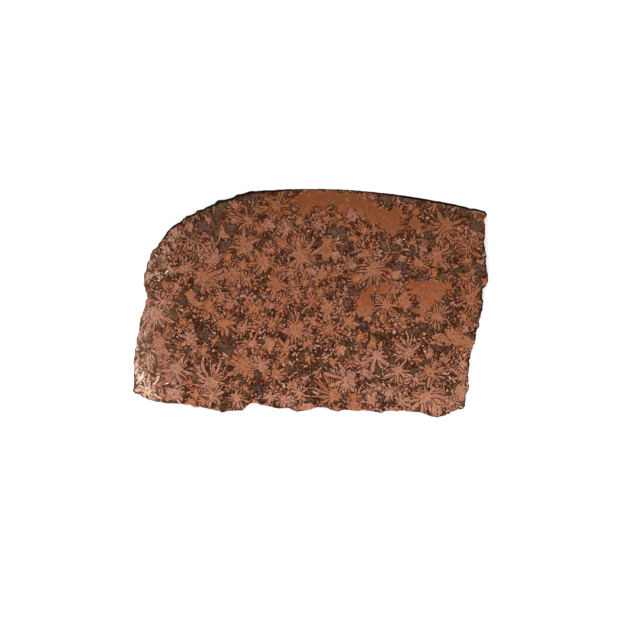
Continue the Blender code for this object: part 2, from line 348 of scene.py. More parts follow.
def cell_numbers(cells: np.ndarray, seed: float) -> np.ndarray:
    """A fixed random number from 0 to 1 for each whole-number cell: the fraction of a tall sine.

    Args:
        cells: whole-number places, (..., 3).
        seed: picks another set of numbers.

    Returns:
        The numbers, (...).
    """
    wave = np.sin(cells @ np.array(SINE_GROWTH) + seed * SINE_SEED_STEP) * SINE_HEIGHT
    return wave - np.floor(wave)


def soft_noise(points: np.ndarray, size: float, seed: float) -> np.ndarray:
    """Smooth noise from -1 to 1: corner numbers of a lattice, blended with an S-shaped weight on each axis.

    Args:
        points: places, (..., 3).
        size: the lattice's spacing.
        seed: picks another noise.

    Returns:
        The noise at each place, (...).
    """
    scaled = points / size
    corner = np.floor(scaled)
    inside = scaled - corner
    weight = inside * inside * (3 - 2 * inside)
    total = np.zeros(points.shape[:-1])
    for step in product((0, 1), repeat=3):
        share = np.prod(np.where(np.array(step) == 1, weight, 1 - weight), axis=-1)
        total += share * cell_numbers(corner + step, seed)
    return 2 * total - 1


def break_noise(points: np.ndarray, size: float, seed: float) -> np.ndarray:
    """Relief of a brittle break, about -1 to 1: each place takes the tilted plane of its nearest seed point.

    A cell has seven numbers of its own: three place its seed point, three tilt its plane and one raises it.

    Args:
        points: places, (..., 3).
        size: the mean width of one flat flake.
        seed: picks another relief.

    Returns:
        The relief at each place, (...).
    """
    scaled = points / size
    corner = np.floor(scaled)
    nearest = np.full(points.shape[:-1], np.inf)
    relief = np.zeros(points.shape[:-1])
    for step in product((-1, 0, 1), repeat=3):
        cell = corner + step
        own = [cell_numbers(cell, seed + index) for index in range(7)]
        away = scaled - (cell + np.stack(own[:3], axis=-1))
        tilt = np.stack(own[3:6], axis=-1) - 0.5
        distance = np.linalg.norm(away, axis=-1)
        plane = FLAKE_STEP * (own[6] - 0.5) + FLAKE_TILT * np.sum(away * tilt, axis=-1)
        closer = distance < nearest
        nearest = np.where(closer, distance, nearest)
        relief = np.where(closer, plane, relief)
    return relief


def straight(value: np.ndarray, low: float, high: float) -> np.ndarray:
    """0 at low, 1 at high and straight between, or a fall where low is the larger."""
    return np.clip((value - low) / (high - low), 0, 1)


def headings(turn: np.ndarray, rise: np.ndarray) -> np.ndarray:
    """Unit vectors turned from +X to +Y and raised: (cos turn cos rise, sin turn cos rise, sin rise)."""
    return np.stack((np.cos(turn) * np.cos(rise), np.sin(turn) * np.cos(rise), np.sin(rise)), axis=-1)


class Draws:
    """The one stream of random numbers that the whole stone is drawn from, in turn."""

    def __init__(self, seed: int) -> None:
        """Starts the stream.

        Args:
            seed: picks another stone.
        """
        self.random = np.random.default_rng(seed)

    def span(self, span: Span, count: int) -> np.ndarray:
        """count even random numbers from the low end of a span to its high end."""
        return self.random.uniform(*span, count)

    def around(self, most: float, count: int) -> np.ndarray:
        """count even random numbers from -most to most."""
        return self.random.uniform(-most, most, count)

    def turns(self, count: int, full: float = FULL_TURN) -> np.ndarray:
        """count random directions, as parts of a full turn."""
        return self.random.uniform(0.0, full, count)

    def picks(self, options: Sequence, count: int) -> np.ndarray:
        """count random picks among options."""
        return self.random.choice(options, count)

    def chance(self, share: float) -> bool:
        """True in a share of all draws."""
        return self.random.random() < share


@dataclass(frozen=True)
class StoneBlock:
    """The block of stone that needles grow in, a little larger than the slab.

    skin_depth is how near a face they count as near it. Past core_half_length or core_half_height, all count.
    """

    half_length: float = 72.5
    half_height: float = 47.0
    skin_depth: float = 0.7
    core_half_length: float = 58.0
    core_half_height: float = 35.0

    def lattice(self, step: float, levels: Sequence[float]) -> list[np.ndarray]:
        """X, Y and Z of places that are step apart in X and Y, at the given heights.

        Args:
            step: the spacing.
            levels: the heights.

        Returns:
            Three flat arrays.
        """
        along = np.arange(-self.half_length, self.half_length, step)
        up = np.arange(-self.half_height, self.half_height, step)
        return [part.ravel() for part in np.meshgrid(along, up, levels)]

    def near_surface(self, needles: Needles) -> Needles:
        """The needles that come near the faces or the walls.

        Args:
            needles: any needles.

        Returns:
            Those that do.
        """
        low, high = needles.corners()
        face = (high[:, 2] > THICKNESS - self.skin_depth) & (low[:, 2] < THICKNESS + self.skin_depth)
        back = (high[:, 2] > -self.skin_depth) & (low[:, 2] < self.skin_depth)
        root = np.abs(needles.root)
        wall = (root[:, 0] > self.core_half_length) | (root[:, 1] > self.core_half_height)
        return needles.some(face | back | wall)


@dataclass(frozen=True)
class FlowerPetals:
    """A flower's needles: a core, petals all round in the face, and as many that dive into the stone.

    Lengths and half widths are shares of the flower's own. A stray of 0.5 is half of the gap between petals.
    """

    usual_reach: float = 5.0
    core_petals: int = 7
    stray: float = 0.5
    dive: Span = (0.4, 1.5)
    length: Span = (0.36, 1.15)
    core_length: Span = (0.8, 2.0)
    half_width: Span = (0.4, 1.4)
    core_half_width: Span = (0.34, 0.70)
    bluntness: Span = (0.75, 1.4)
    core_bluntness: float = 8.5
    tone_stray: float = 0.05
    rank: Span = (0.1, 0.9)
    core_rank: float = 0.95

    def grow(self, draws: Draws, flower: Flower, rank: float, height: float = THICKNESS) -> Needles:
        """Grows one flower.

        Petal i of n points at the angle 2 pi (i + a random shift) / n and is as long as the reach times a
        random share, longer towards the flower's lean. The core is a few short wide petals over the others.

        Args:
            draws: the random numbers.
            flower: the flower's place and build.
            rank: the lowest rank of its petals.
            height: the height of the face that it lies in.

        Returns:
            Its needles.
        """
        petals, width_share, blunt, core_share = flower.style.value
        petals = round(petals * math.sqrt(flower.reach / self.usual_reach))
        count = self.core_petals + 2 * petals
        index = np.arange(count)
        is_core = index < self.core_petals
        angle = FULL_TURN * np.where(is_core, index / self.core_petals, (index - self.core_petals) / petals)
        angle += draws.around(self.stray, count) * FULL_TURN / petals
        dive = np.where(index < self.core_petals + petals, 0.0, draws.span(self.dive, count))
        into = -1 if height > 0 else 1
        core = flower.reach * core_share
        length = flower.reach * draws.span(self.length, count) * flower.lengthening(angle)
        length = np.where(is_core, core * draws.span(self.core_length, count), length)
        width = width_share * math.sqrt(flower.reach * self.usual_reach) * draws.span(self.half_width, count)
        width = np.where(is_core, core * draws.span(self.core_half_width, count), width)
        centre = np.array((flower.x, flower.y, height))
        return Needles(
            root=np.repeat(centre[None], count, axis=0),
            tip=centre + headings(angle, into * dive) * length[:, None],
            half_width=width,
            bluntness=np.where(is_core, self.core_bluntness, blunt * draws.span(self.bluntness, count)),
            tone=np.clip(flower.tone.value + draws.around(self.tone_stray, count) * ~is_core, 0.0, 1.0),
            rank=rank + np.where(is_core, self.core_rank, draws.span(self.rank, count)),
        )


@dataclass(frozen=True)
class SeededFlowers:
    """Flowers that fill a face on a loose lattice, where they don't crowd a placed one.

    A seeded flower keeps out of the middle of a placed one, to overlap times its reach, and patch_gap away
    from a patch. Where the room is less than least_share of the least reach, none grows.
    """

    spacing: float = 6.0
    stray: float = 0.45
    reach: Span = (2.0, 4.6)
    overlap: float = 0.45
    room_share: float = 1.15
    least_share: float = 0.8
    patch_gap: float = 0.5
    styles: tuple[Style, ...] = (STAR, BURST, STAR, DISC)
    tones: tuple[Tone, ...] = (ORANGE, BROWN, PINK)
    lean: Span = (0.0, 0.4)

    def choose(
        self, draws: Draws, block: StoneBlock, placed: Sequence[Flower], patches: Sequence[Patch]
    ) -> list[Flower]:
        """Chooses the flowers' places and builds.

        Args:
            draws: the random numbers.
            block: the block of stone.
            placed: the flowers that are there already.
            patches: the even areas and pools, if flowers are placed.

        Returns:
            The seeded flowers.
        """
        x, y, z = block.lattice(self.spacing, (THICKNESS,))
        count = len(x)
        x = x + draws.around(self.stray, count) * self.spacing
        y = y + draws.around(self.stray, count) * self.spacing
        reach = draws.span(self.reach, count)
        styles = draws.picks(self.styles, count)
        tones = draws.picks(self.tones, count)
        leans = draws.span(self.lean, count)
        turns = draws.turns(count, full=360.0)
        free = np.full(count, True)
        if placed:
            at = np.array([(flower.x, flower.y, flower.reach) for flower in placed])
            away = np.hypot(x[:, None] - at[:, 0], y[:, None] - at[:, 1]) - self.overlap * at[:, 2]
            reach = np.minimum(reach, self.room_share * np.min(away, axis=1))
            taken = Needles.joined([patch.needle(Rank.POOL.value) for patch in patches])
            inside = taken.depth(np.stack((x, y, z), axis=-1)).max(axis=1)
            free = (reach > self.least_share * self.reach[0]) & (inside < -self.patch_gap)
        chosen = zip(*(part[free] for part in (x, y, reach, styles, tones, turns, leans)))
        return [Flower(*values) for values in chosen]


@dataclass(frozen=True)
class Halo:
    """Short rods round a placed flower, which point away from its middle. slant turns them a little aside."""

    per_mm: float = 6.5
    start: Span = (0.6, 1.35)
    lean_share: float = 0.6
    rise: float = 0.2
    slant: float = 0.25
    length: Span = (1.2, 3.4)
    half_width: Span = (0.22, 0.5)
    bluntness: Span = (2.2, 4.5)
    paler: Span = (0.0, 0.3)
    tone: Span = (0.42, 0.92)
    rank: Span = (0.6, 1.0)

    def grow(self, draws: Draws, flower: Flower) -> Needles:
        """Grows the rods of one flower. A rod starts at the reach times a random share from the middle.

        Args:
            draws: the random numbers.
            flower: the flower.

        Returns:
            The rods.
        """
        count = int(flower.reach * self.per_mm)
        angle = draws.turns(count)
        start = flower.reach * draws.span(self.start, count) * flower.lengthening(angle, self.lean_share)
        heading = np.stack((np.cos(angle), np.sin(angle), draws.around(self.rise, count)), axis=-1)
        across = np.stack((-np.sin(angle), np.cos(angle), 0 * angle), axis=-1)
        sideways = draws.around(self.slant, count)[:, None] * across
        length = draws.span(self.length, count)[:, None]
        centre = np.array((flower.x, flower.y, THICKNESS))
        return Needles(
            root=centre + heading * start[:, None],
            tip=centre + heading * (start[:, None] + length) + sideways * length,
            half_width=draws.span(self.half_width, count),
            bluntness=draws.span(self.bluntness, count),
            tone=np.clip(flower.tone.value + draws.span(self.paler, count), *self.tone),
            rank=draws.span(self.rank, count),
        )


@dataclass(frozen=True)
class SmallFlowers:
    """Small squashed flowers all through the stone, on a loose lattice.

    half_width is a share of the reach, and lift_stray how far a needle strays from its even direction.
    """

    spacing: float = 5.0
    levels: tuple[float, ...] = (-0.4, 1.2, 3.2, 5.2, 6.6)
    stray: float = 0.6
    height_stray: float = 1.0
    reach: Span = (2.2, 4.6)
    tone: Span = (0.42, 0.70)
    needles: int = 18
    lift_stray: float = 0.2
    squash: float = 0.22
    length: Span = (0.5, 1.15)
    half_width: Span = (0.10, 0.19)
    bluntness: Span = (2.0, 4.6)
    tone_stray: float = 0.07
    rank: Span = (1.0, 1.9)
    rank_stray: Span = (0.0, 0.05)

    def grow(self, draws: Draws, block: StoneBlock) -> Needles:
        """Grows them all. The needles of one point along a golden spiral of directions, evenly over a sphere.

        Args:
            draws: the random numbers.
            block: the block of stone.

        Returns:
            Their needles.
        """
        x, y, z = block.lattice(self.spacing, self.levels)
        count, each = len(x), self.needles
        total = count * each
        centre = np.stack((
            x + draws.around(self.stray, count) * self.spacing,
            y + draws.around(self.stray, count) * self.spacing,
            z + draws.around(self.height_stray, count),
        ), axis=-1)
        reach = draws.span(self.reach, count)
        tone = draws.span(self.tone, count)
        index = np.arange(each) + 0.5
        lift = draws.around(self.lift_stray, total).reshape(count, each)
        lift = np.arccos(1 - 2 * index / each)[None] + lift
        turn = (GOLDEN_ANGLE * index)[None] + draws.turns(count)[:, None]
        heading = np.stack(
            (np.cos(turn) * np.sin(lift), np.sin(turn) * np.sin(lift), self.squash * np.cos(lift)), axis=-1
        )
        length = reach[:, None] * draws.span(self.length, total).reshape(count, each)
        return block.near_surface(Needles(
            root=np.repeat(centre, each, axis=0),
            tip=(centre[:, None] + heading * length[..., None]).reshape(total, 3),
            half_width=np.repeat(reach, each) * draws.span(self.half_width, total),
            bluntness=draws.span(self.bluntness, total),
            tone=np.clip(np.repeat(tone, each) + draws.around(self.tone_stray, total), 0.0, 1.0),
            rank=np.repeat(draws.span(self.rank, count), each) + draws.span(self.rank_stray, total),
        ))


@dataclass(frozen=True)
class LooseRods:
    """Short rods through the stone, turned at random: large dull ones, usual ones, and fine pale ones."""

    per_mm3: float = 0.32
    rise: float = 0.16
    dull_share: float = 0.48
    fine_share: float = 0.32
    dull_swell: float = 1.25
    length: Span = (1.1, 3.0)
    fine_half_width: Span = (0.11, 0.18)
    half_width: Span = (0.20, 0.45)
    bluntness: Span = (2.6, 6.0)
    dull_tone: Span = (-0.005, 0.055)
    fine_tone: Span = (0.60, 0.92)
    tone: Span = (0.46, 0.80)
    rank: Span = (0.0, 0.9)
    dull_lowering: float = 1.0
    fine_raising: float = 0.9

    def grow(self, draws: Draws, block: StoneBlock) -> Needles:
        """Grows them all.

        Args:
            draws: the random numbers.
            block: the block of stone.

        Returns:
            The rods.
        """
        height = THICKNESS + 2 * block.skin_depth
        count = int(self.per_mm3 * 4 * block.half_length * block.half_height * height)
        middle = np.stack((
            draws.around(block.half_length, count),
            draws.around(block.half_height, count),
            draws.span((-block.skin_depth, THICKNESS + block.skin_depth), count),
        ), axis=-1)
        heading = headings(draws.turns(count), draws.around(self.rise, count))
        kind = draws.span((0.0, 1.0), count)
        dull, fine = kind < self.dull_share, kind > 1 - self.fine_share
        swell = np.where(dull, self.dull_swell, 1.0)
        half = heading * (swell * draws.span(self.length, count) / 2)[:, None]
        fine_half_width = draws.span(self.fine_half_width, count)
        return block.near_surface(Needles(
            root=middle - half, tip=middle + half,
            half_width=np.where(fine, fine_half_width, swell * draws.span(self.half_width, count)),
            bluntness=draws.span(self.bluntness, count),
            tone=np.select(
                (dull, fine), (draws.span(self.dull_tone, count), draws.span(self.fine_tone, count)),
                draws.span(self.tone, count),
            ),
            rank=draws.span(self.rank, count) - self.dull_lowering * dull + self.fine_raising * fine,
        ))


@dataclass(frozen=True)
class StoneGrowth:
    """Grows the stone's needles: placed flowers and patches, and small flowers and rods between them."""

    seed: int = 11
    block: StoneBlock = StoneBlock()
    petals: FlowerPetals = FlowerPetals()
    seeded: SeededFlowers = SeededFlowers()
    halo: Halo = Halo()
    small: SmallFlowers = SmallFlowers()
    rods: LooseRods = LooseRods()
    patch_rank_step: float = 0.001
    placed_ranks: int = 7
    eye_share: float = 0.4
    eye_length: float = 0.2
    eye_half_width: float = 0.34

    def placed_patches(self) -> Needles:
        """The pools, lowest of all, and the even areas, which lie over the rust flowers.

        Returns:
            A needle for each patch.
        """
        lowest = [Rank.POOL if patch.tone is POOL else Rank.EVEN_AREA for patch in PATCHES]
        return Needles.joined([
            patch.needle(rank.value + self.patch_rank_step * at)
            for at, (patch, rank) in enumerate(zip(PATCHES, lowest))
        ])

    def loose(self, draws: Draws) -> Needles:
        """What isn't placed: rods, small flowers, halos, and the seeded flowers of both faces.

        Args:
            draws: the random numbers.

        Returns:
            Their needles.
        """
        bundles = [self.rods.grow(draws, self.block), self.small.grow(draws, self.block)]
        bundles += [self.halo.grow(draws, flower) for flower in FLOWERS]
        seeded = self.seeded.choose(draws, self.block, FLOWERS, PATCHES)
        bundles += [self.petals.grow(draws, flower, Rank.SEEDED.value) for flower in seeded]
        behind = self.seeded.choose(draws, self.block, (), ())
        bundles += [self.petals.grow(draws, flower, Rank.SEEDED.value, height=0.0) for flower in behind]
        return Needles.joined(bundles)

    def placed_flower(self, draws: Draws, flower: Flower, at: int) -> Needles:
        """The placed flower of number at. Rust ones lie low, and the others over each other by turns."""
        rank = Rank.SEEDED.value if flower.tone is RUST else Rank.PLACED.value + at % self.placed_ranks
        return self.petals.grow(draws, flower, rank)

    def eye(self, flower: Flower) -> Needles:
        """A small dark middle."""
        middle = Patch(flower.x, flower.y, flower.x + self.eye_length, flower.y, self.eye_half_width)
        return middle.needle(Rank.EYE.value)

    def grow(self) -> Needles:
        """Everything. A loose needle whose middle or tip lies inside a patch is left out.

        Returns:
            All needles of the stone.
        """
        draws = Draws(self.seed)
        patches = self.placed_patches()
        loose = self.loose(draws)
        outside = (patches.depth((loose.root + loose.tip) / 2) < 0) & (patches.depth(loose.tip) < 0)
        loose = loose.some(np.all(outside, axis=1))
        placed = [self.placed_flower(draws, flower, at) for at, flower in enumerate(FLOWERS)]
        eyes = [self.eye(flower) for flower in FLOWERS if draws.chance(self.eye_share)]
        # Pale streaks, and white specks that are painted glints
        streaks_and_glints = [mark.needle(Rank.SPECK.value) for mark in HAIRS + PAINTED_GLINTS]
        return Needles.joined([patches, loose, *placed, *eyes, *streaks_and_glints])


@dataclass
class NeedlePicker:
    """Finds, for each small face, the few needles of the highest rank that pass through it or close by it.

    A needle that comes within near of the face's middle goes before one that only comes within margin.
    """

    FAR_LOWERING = 100.0
    MOST_BLOCKS = 1000

    needles: Needles
    block: float = 4.0
    margin: float = 0.8
    near: float = 0.42

    def pick(self, centres: np.ndarray) -> np.ndarray:
        """Works block by block: all needles near the block are measured against all of its faces at once.

        Args:
            centres: the faces' middle points, (F, 3).

        Returns:
            Needle indices, (F, NEEDLES_PER_FACE), highest rank first, and -1 where there is none.
        """
        low, high = self.needles.corners()
        chosen = np.full((len(centres), NEEDLES_PER_FACE), -1)
        place = np.floor((centres - centres.min(axis=0)) / self.block).astype(int)
        key = (place[:, 0] * self.MOST_BLOCKS + place[:, 1]) * self.MOST_BLOCKS + place[:, 2]
        order = np.argsort(key, kind="stable")
        starts = np.flatnonzero(np.diff(key[order], prepend=-1))
        for faces in np.split(order, starts[1:]):
            points = centres[faces]
            reach_low = points.min(axis=0) - self.margin
            reach_high = points.max(axis=0) + self.margin
            close = np.flatnonzero(np.all((low <= reach_high) & (high >= reach_low), axis=1))
            if not len(close):
                continue
            few = self.needles.some(close)
            depth = few.depth(points)
            score = np.where(depth > -self.near, few.rank[None], few.rank[None] - self.FAR_LOWERING)
            score = np.where(depth > -self.margin, score, -np.inf)
            best = np.argsort(-score, axis=1)[:, :NEEDLES_PER_FACE]
            found = np.take_along_axis(score, best, axis=1)
            rank = np.where(np.isfinite(found), few.rank[best], -np.inf)
            again = np.argsort(-rank, axis=1)
            best = np.take_along_axis(best, again, axis=1)
            real = np.isfinite(np.take_along_axis(rank, again, axis=1))
            chosen[faces, : best.shape[1]] = np.where(real, close[best], -1)
        return chosen


class Side(Enum):
    """Which part of the surface a face belongs to."""

    POLISHED = 0
    WALL = 1
    BACK = 2


@dataclass
class Shell:
    """A closed surface as arrays: points, the faces' corners one after another, and how many each face has.

    side is each face's Side, and from_rim each point's distance from the slab's rim.
    """

    points: np.ndarray
    corners: np.ndarray
    counts: np.ndarray
    side: np.ndarray
    from_rim: np.ndarray

    def starts(self) -> np.ndarray:
        """Where each face's corners begin."""
        return np.cumsum(self.counts) - self.counts

    def face_means(self, values: np.ndarray) -> np.ndarray:
        """The mean over each face of a value that its points have."""
        return np.add.reduceat(values[self.corners], self.starts()) / self.counts[:, None]

    def mesh(self, name: str) -> bpy.types.Mesh:
        """Writes the surface into a mesh in metres.

        Args:
            name: the mesh's name.

        Returns:
            The mesh.
        """
        made = bpy.data.meshes.new(name)
        made.vertices.add(len(self.points))
        made.vertices.foreach_set("co", (self.points * MM).astype(np.float32).ravel())
        made.loops.add(len(self.corners))
        made.loops.foreach_set("vertex_index", self.corners.astype(np.int32))
        made.polygons.add(len(self.counts))
        made.polygons.foreach_set("loop_start", self.starts().astype(np.int32))
        made.update(calc_edges=True)
        made.validate()
        return made


@dataclass
class SlabSkin:
    """The slab's fine surface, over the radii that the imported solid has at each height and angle.

    Both faces are grids of cells that a rectangle would have, blown out or drawn in along each ray from the
    middle so that the grid's rim follows the slab's edge. The wall joins the two rims. The smooth natural
    edge begins and ends softly, at skin_begin_deg and skin_end_deg, and keeps skin_share of the relief.
    """

    across: int = 316
    up: int = 202
    wall_rows: int = 14
    half_length: float = 71.0
    half_height: float = 45.5
    same_height: float = 0.002
    break_size: float = 2.3
    break_depth: float = 0.30
    flake_size: float = 0.95
    flake_depth: float = 0.13
    grit_size: float = 0.5
    grit_depth: float = 0.06
    skin_share: float = 0.35
    skin_begin_deg: Span = (29.0, 32.0)
    skin_end_deg: Span = (128.0, 114.0)
    chip_size: float = 3.2
    chip_depth: float = 0.55
    chip_least: float = 0.25
    chip_height: float = 0.5
    nibble_size: float = 0.9
    nibble_depth: float = 0.10

    def cad_rings(self) -> tuple[np.ndarray, list[tuple[np.ndarray, np.ndarray]]]:
        """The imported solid's wall rings: their heights, and each ring's angles and radii.

        Returns:
            Heights, and one (angles, radii) pair for each.
        """
        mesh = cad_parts[NODE].data
        flat = np.zeros(len(mesh.vertices) * 3, dtype=np.float32)
        mesh.vertices.foreach_get("co", flat)
        points = flat.reshape(-1, 3).astype(float) / MM
        heights = np.unique(np.round(points[:, 2], 3))
        rings = []
        for height in heights:
            ring = points[np.abs(points[:, 2] - height) < self.same_height]
            angle = np.arctan2(ring[:, 1], ring[:, 0])
            order = np.argsort(angle)
            rings.append((angle[order], np.hypot(ring[:, 0], ring[:, 1])[order]))
        return heights, rings

    def radii(self, angle: np.ndarray, heights: np.ndarray) -> np.ndarray:
        """The solid's radius for each height (rows) and angle (columns), straight between its own points.

        Args:
            angle: angles about the slab's middle, (C,).
            heights: heights over the back face, (R,).

        Returns:
            Radii, (R, C).
        """
        levels, rings = self.cad_rings()
        known = np.stack([np.interp(angle, at, radius, period=FULL_TURN) for at, radius in rings])
        below = np.clip(np.searchsorted(levels, heights) - 1, 0, len(levels) - 2)
        share = ((heights - levels[below]) / (levels[below + 1] - levels[below]))[:, None]
        return known[below] * (1 - share) + known[below + 1] * share

    def rim_cells(self) -> np.ndarray:
        """Grid places of the rim, anticlockwise from the corner at -X -Y, as (column, row) pairs.

        Returns:
            The pairs, (C, 2).
        """
        right = [(i, 0) for i in range(self.across)]
        upwards = [(self.across, j) for j in range(self.up)]
        left = [(i, self.up) for i in range(self.across, 0, -1)]
        downwards = [(0, j) for j in range(self.up, 0, -1)]
        return np.array(right + upwards + left + downwards)

    def skin_side(self, angle: np.ndarray) -> np.ndarray:
        """1 on the smooth natural edge towards +Y, 0 on the broken edges, by the angle about the middle."""
        degrees = np.degrees(angle)
        return straight(degrees, *self.skin_begin_deg) * straight(degrees, *self.skin_end_deg)

    def wall_points(self, angle: np.ndarray) -> np.ndarray:
        """The wall from the polished face's rim down to the back face's rim, with its broken relief.

        Row r of n lies at the height T (1 + cos(pi r / n)) / 2, so rows crowd at both rims. The radius is the
        solid's, plus flakes of two sizes and grit, less chips and nibbles that fade away from the rims.

        Args:
            angle: the columns' angles, (C,).

        Returns:
            Points, (rows + 1, C, 3).
        """
        turn = np.arange(self.wall_rows + 1) * math.pi / self.wall_rows
        heights = THICKNESS * (1 + np.cos(turn)) / 2
        radius = self.radii(angle, heights)
        outwards = np.stack((np.cos(angle), np.sin(angle)), axis=-1)
        place = np.concatenate((
            radius[..., None] * outwards[None],
            np.broadcast_to(heights[:, None, None], (*radius.shape, 1)),
        ), axis=-1)
        rough = 1 - (1 - self.skin_share) * self.skin_side(angle)[None]
        radius = radius + rough * (
            self.break_depth * break_noise(place, self.break_size, seed=3.0)
            + self.flake_depth * break_noise(place, self.flake_size, seed=21.0)
            + self.grit_depth * soft_noise(place, self.grit_size, seed=40.0)
        )
        from_rim = np.minimum(heights, THICKNESS - heights)[:, None]
        chip = np.clip(soft_noise(place, self.chip_size, seed=55.0) - self.chip_least, 0, 1)
        nibble = 0.5 + 0.5 * soft_noise(place, self.nibble_size, seed=60.0)
        bite = self.chip_depth * chip + self.nibble_depth * nibble
        radius -= rough * bite * np.exp(-from_rim / self.chip_height)
        place[..., :2] = radius[..., None] * outwards[None]
        return place

    def grid(self) -> tuple[np.ndarray, np.ndarray]:
        """Where each grid point lies along the slab and across it, from -1 to 1."""
        along, up = (np.linspace(-1, 1, cells + 1) for cells in (self.across, self.up))
        return np.meshgrid(along, up, indexing="ij")

    def rim_share(self) -> np.ndarray:
        """Where each grid point lies between the middle (0) and the rim (1)."""
        return np.maximum(*np.abs(self.grid()))

    def face_grid(self, rim: np.ndarray, rim_angle: np.ndarray, height: float) -> np.ndarray:
        """A flat face: a rectangle's grid, with each point moved along its ray from the middle.

        A point's radius is its rim share times the slab's radius at its angle.

        Args:
            rim: the face's rim points, (C, 3).
            rim_angle: their angles, (C,).
            height: the face's height.

        Returns:
            Points, ((across + 1) * (up + 1), 3).
        """
        along, up = self.grid()
        angle = np.arctan2(up * self.half_height, along * self.half_length)
        order = np.argsort(rim_angle)
        edge = np.interp(angle, rim_angle[order], np.hypot(rim[:, 0], rim[:, 1])[order], period=FULL_TURN)
        radius = self.rim_share() * edge
        points = np.stack((radius * np.cos(angle), radius * np.sin(angle), 0 * radius + height), axis=-1)
        return points.reshape(-1, 3)

    def face_cells(self, step: int) -> tuple[np.ndarray, np.ndarray]:
        """A face's cells, each step grid places wide, as rings of eight grid indices anticlockwise.

        A cell uses its four corners, and also the middle of each side on the rim, so that it meets the wall.

        Args:
            step: 1, or 2 for a face with a quarter of the cells.

        Returns:
            The rings, (cells, 8), and which of their places are used.
        """
        half = step // 2
        i, j = (part.reshape(-1, 1) for part in np.meshgrid(
            np.arange(0, self.across, step), np.arange(0, self.up, step), indexing="ij"
        ))
        column = i + np.array((0, half, step, step, step, half, 0, 0))
        row = j + np.array((0, 0, 0, half, step, step, step, half))
        on_rim = (column % self.across == 0) | (row % self.up == 0)
        corner = np.arange(8) % 2 == 0
        return column * (self.up + 1) + row, corner | (on_rim & (half > 0))

    def shell(self) -> Shell:
        """Joins the two faces and the wall into one closed surface. The back face has the larger cells.

        Returns:
            The surface.
        """
        rim = self.rim_cells()
        middle = np.array((self.across, self.up)) / 2
        flat = (rim / middle - 1) * np.array((self.half_length, self.half_height))
        angle = np.arctan2(flat[:, 1], flat[:, 0])
        wall = self.wall_points(angle)
        top = self.face_grid(wall[0], angle, THICKNESS)
        base = self.face_grid(wall[-1], angle, 0.0)
        points = np.concatenate((top, wall[1:-1].reshape(-1, 3), base))

        rim_index = rim[:, 0] * (self.up + 1) + rim[:, 1]
        between = len(top) + np.arange((self.wall_rows - 1) * len(rim)).reshape(-1, len(rim))
        base_start = len(top) + between.size
        loops = np.concatenate((rim_index[None], between, base_start + rim_index[None]))
        upper, lower = loops[:-1], loops[1:]
        strip = np.stack((lower, np.roll(lower, -1, axis=1), np.roll(upper, -1, axis=1), upper), axis=-1)
        strip = strip.reshape(-1, 4)

        top_ring, top_used = self.face_cells(1)
        base_ring, base_used = (part[:, ::-1] for part in self.face_cells(2))
        corners = np.concatenate((top_ring[top_used], strip.ravel(), base_start + base_ring[base_used]))
        counts = np.concatenate((top_used.sum(axis=1), np.full(len(strip), 4), base_used.sum(axis=1)))
        side = np.repeat([part.value for part in Side], [len(top_used), len(strip), len(base_used)])
        kept, corners = np.unique(corners, return_inverse=True)
        inside = self.half_height * (1 - self.rim_share()).ravel()
        from_rim = np.concatenate((inside, np.zeros(between.size), inside))
        return Shell(points[kept], corners.ravel(), counts, side, from_rim[kept])


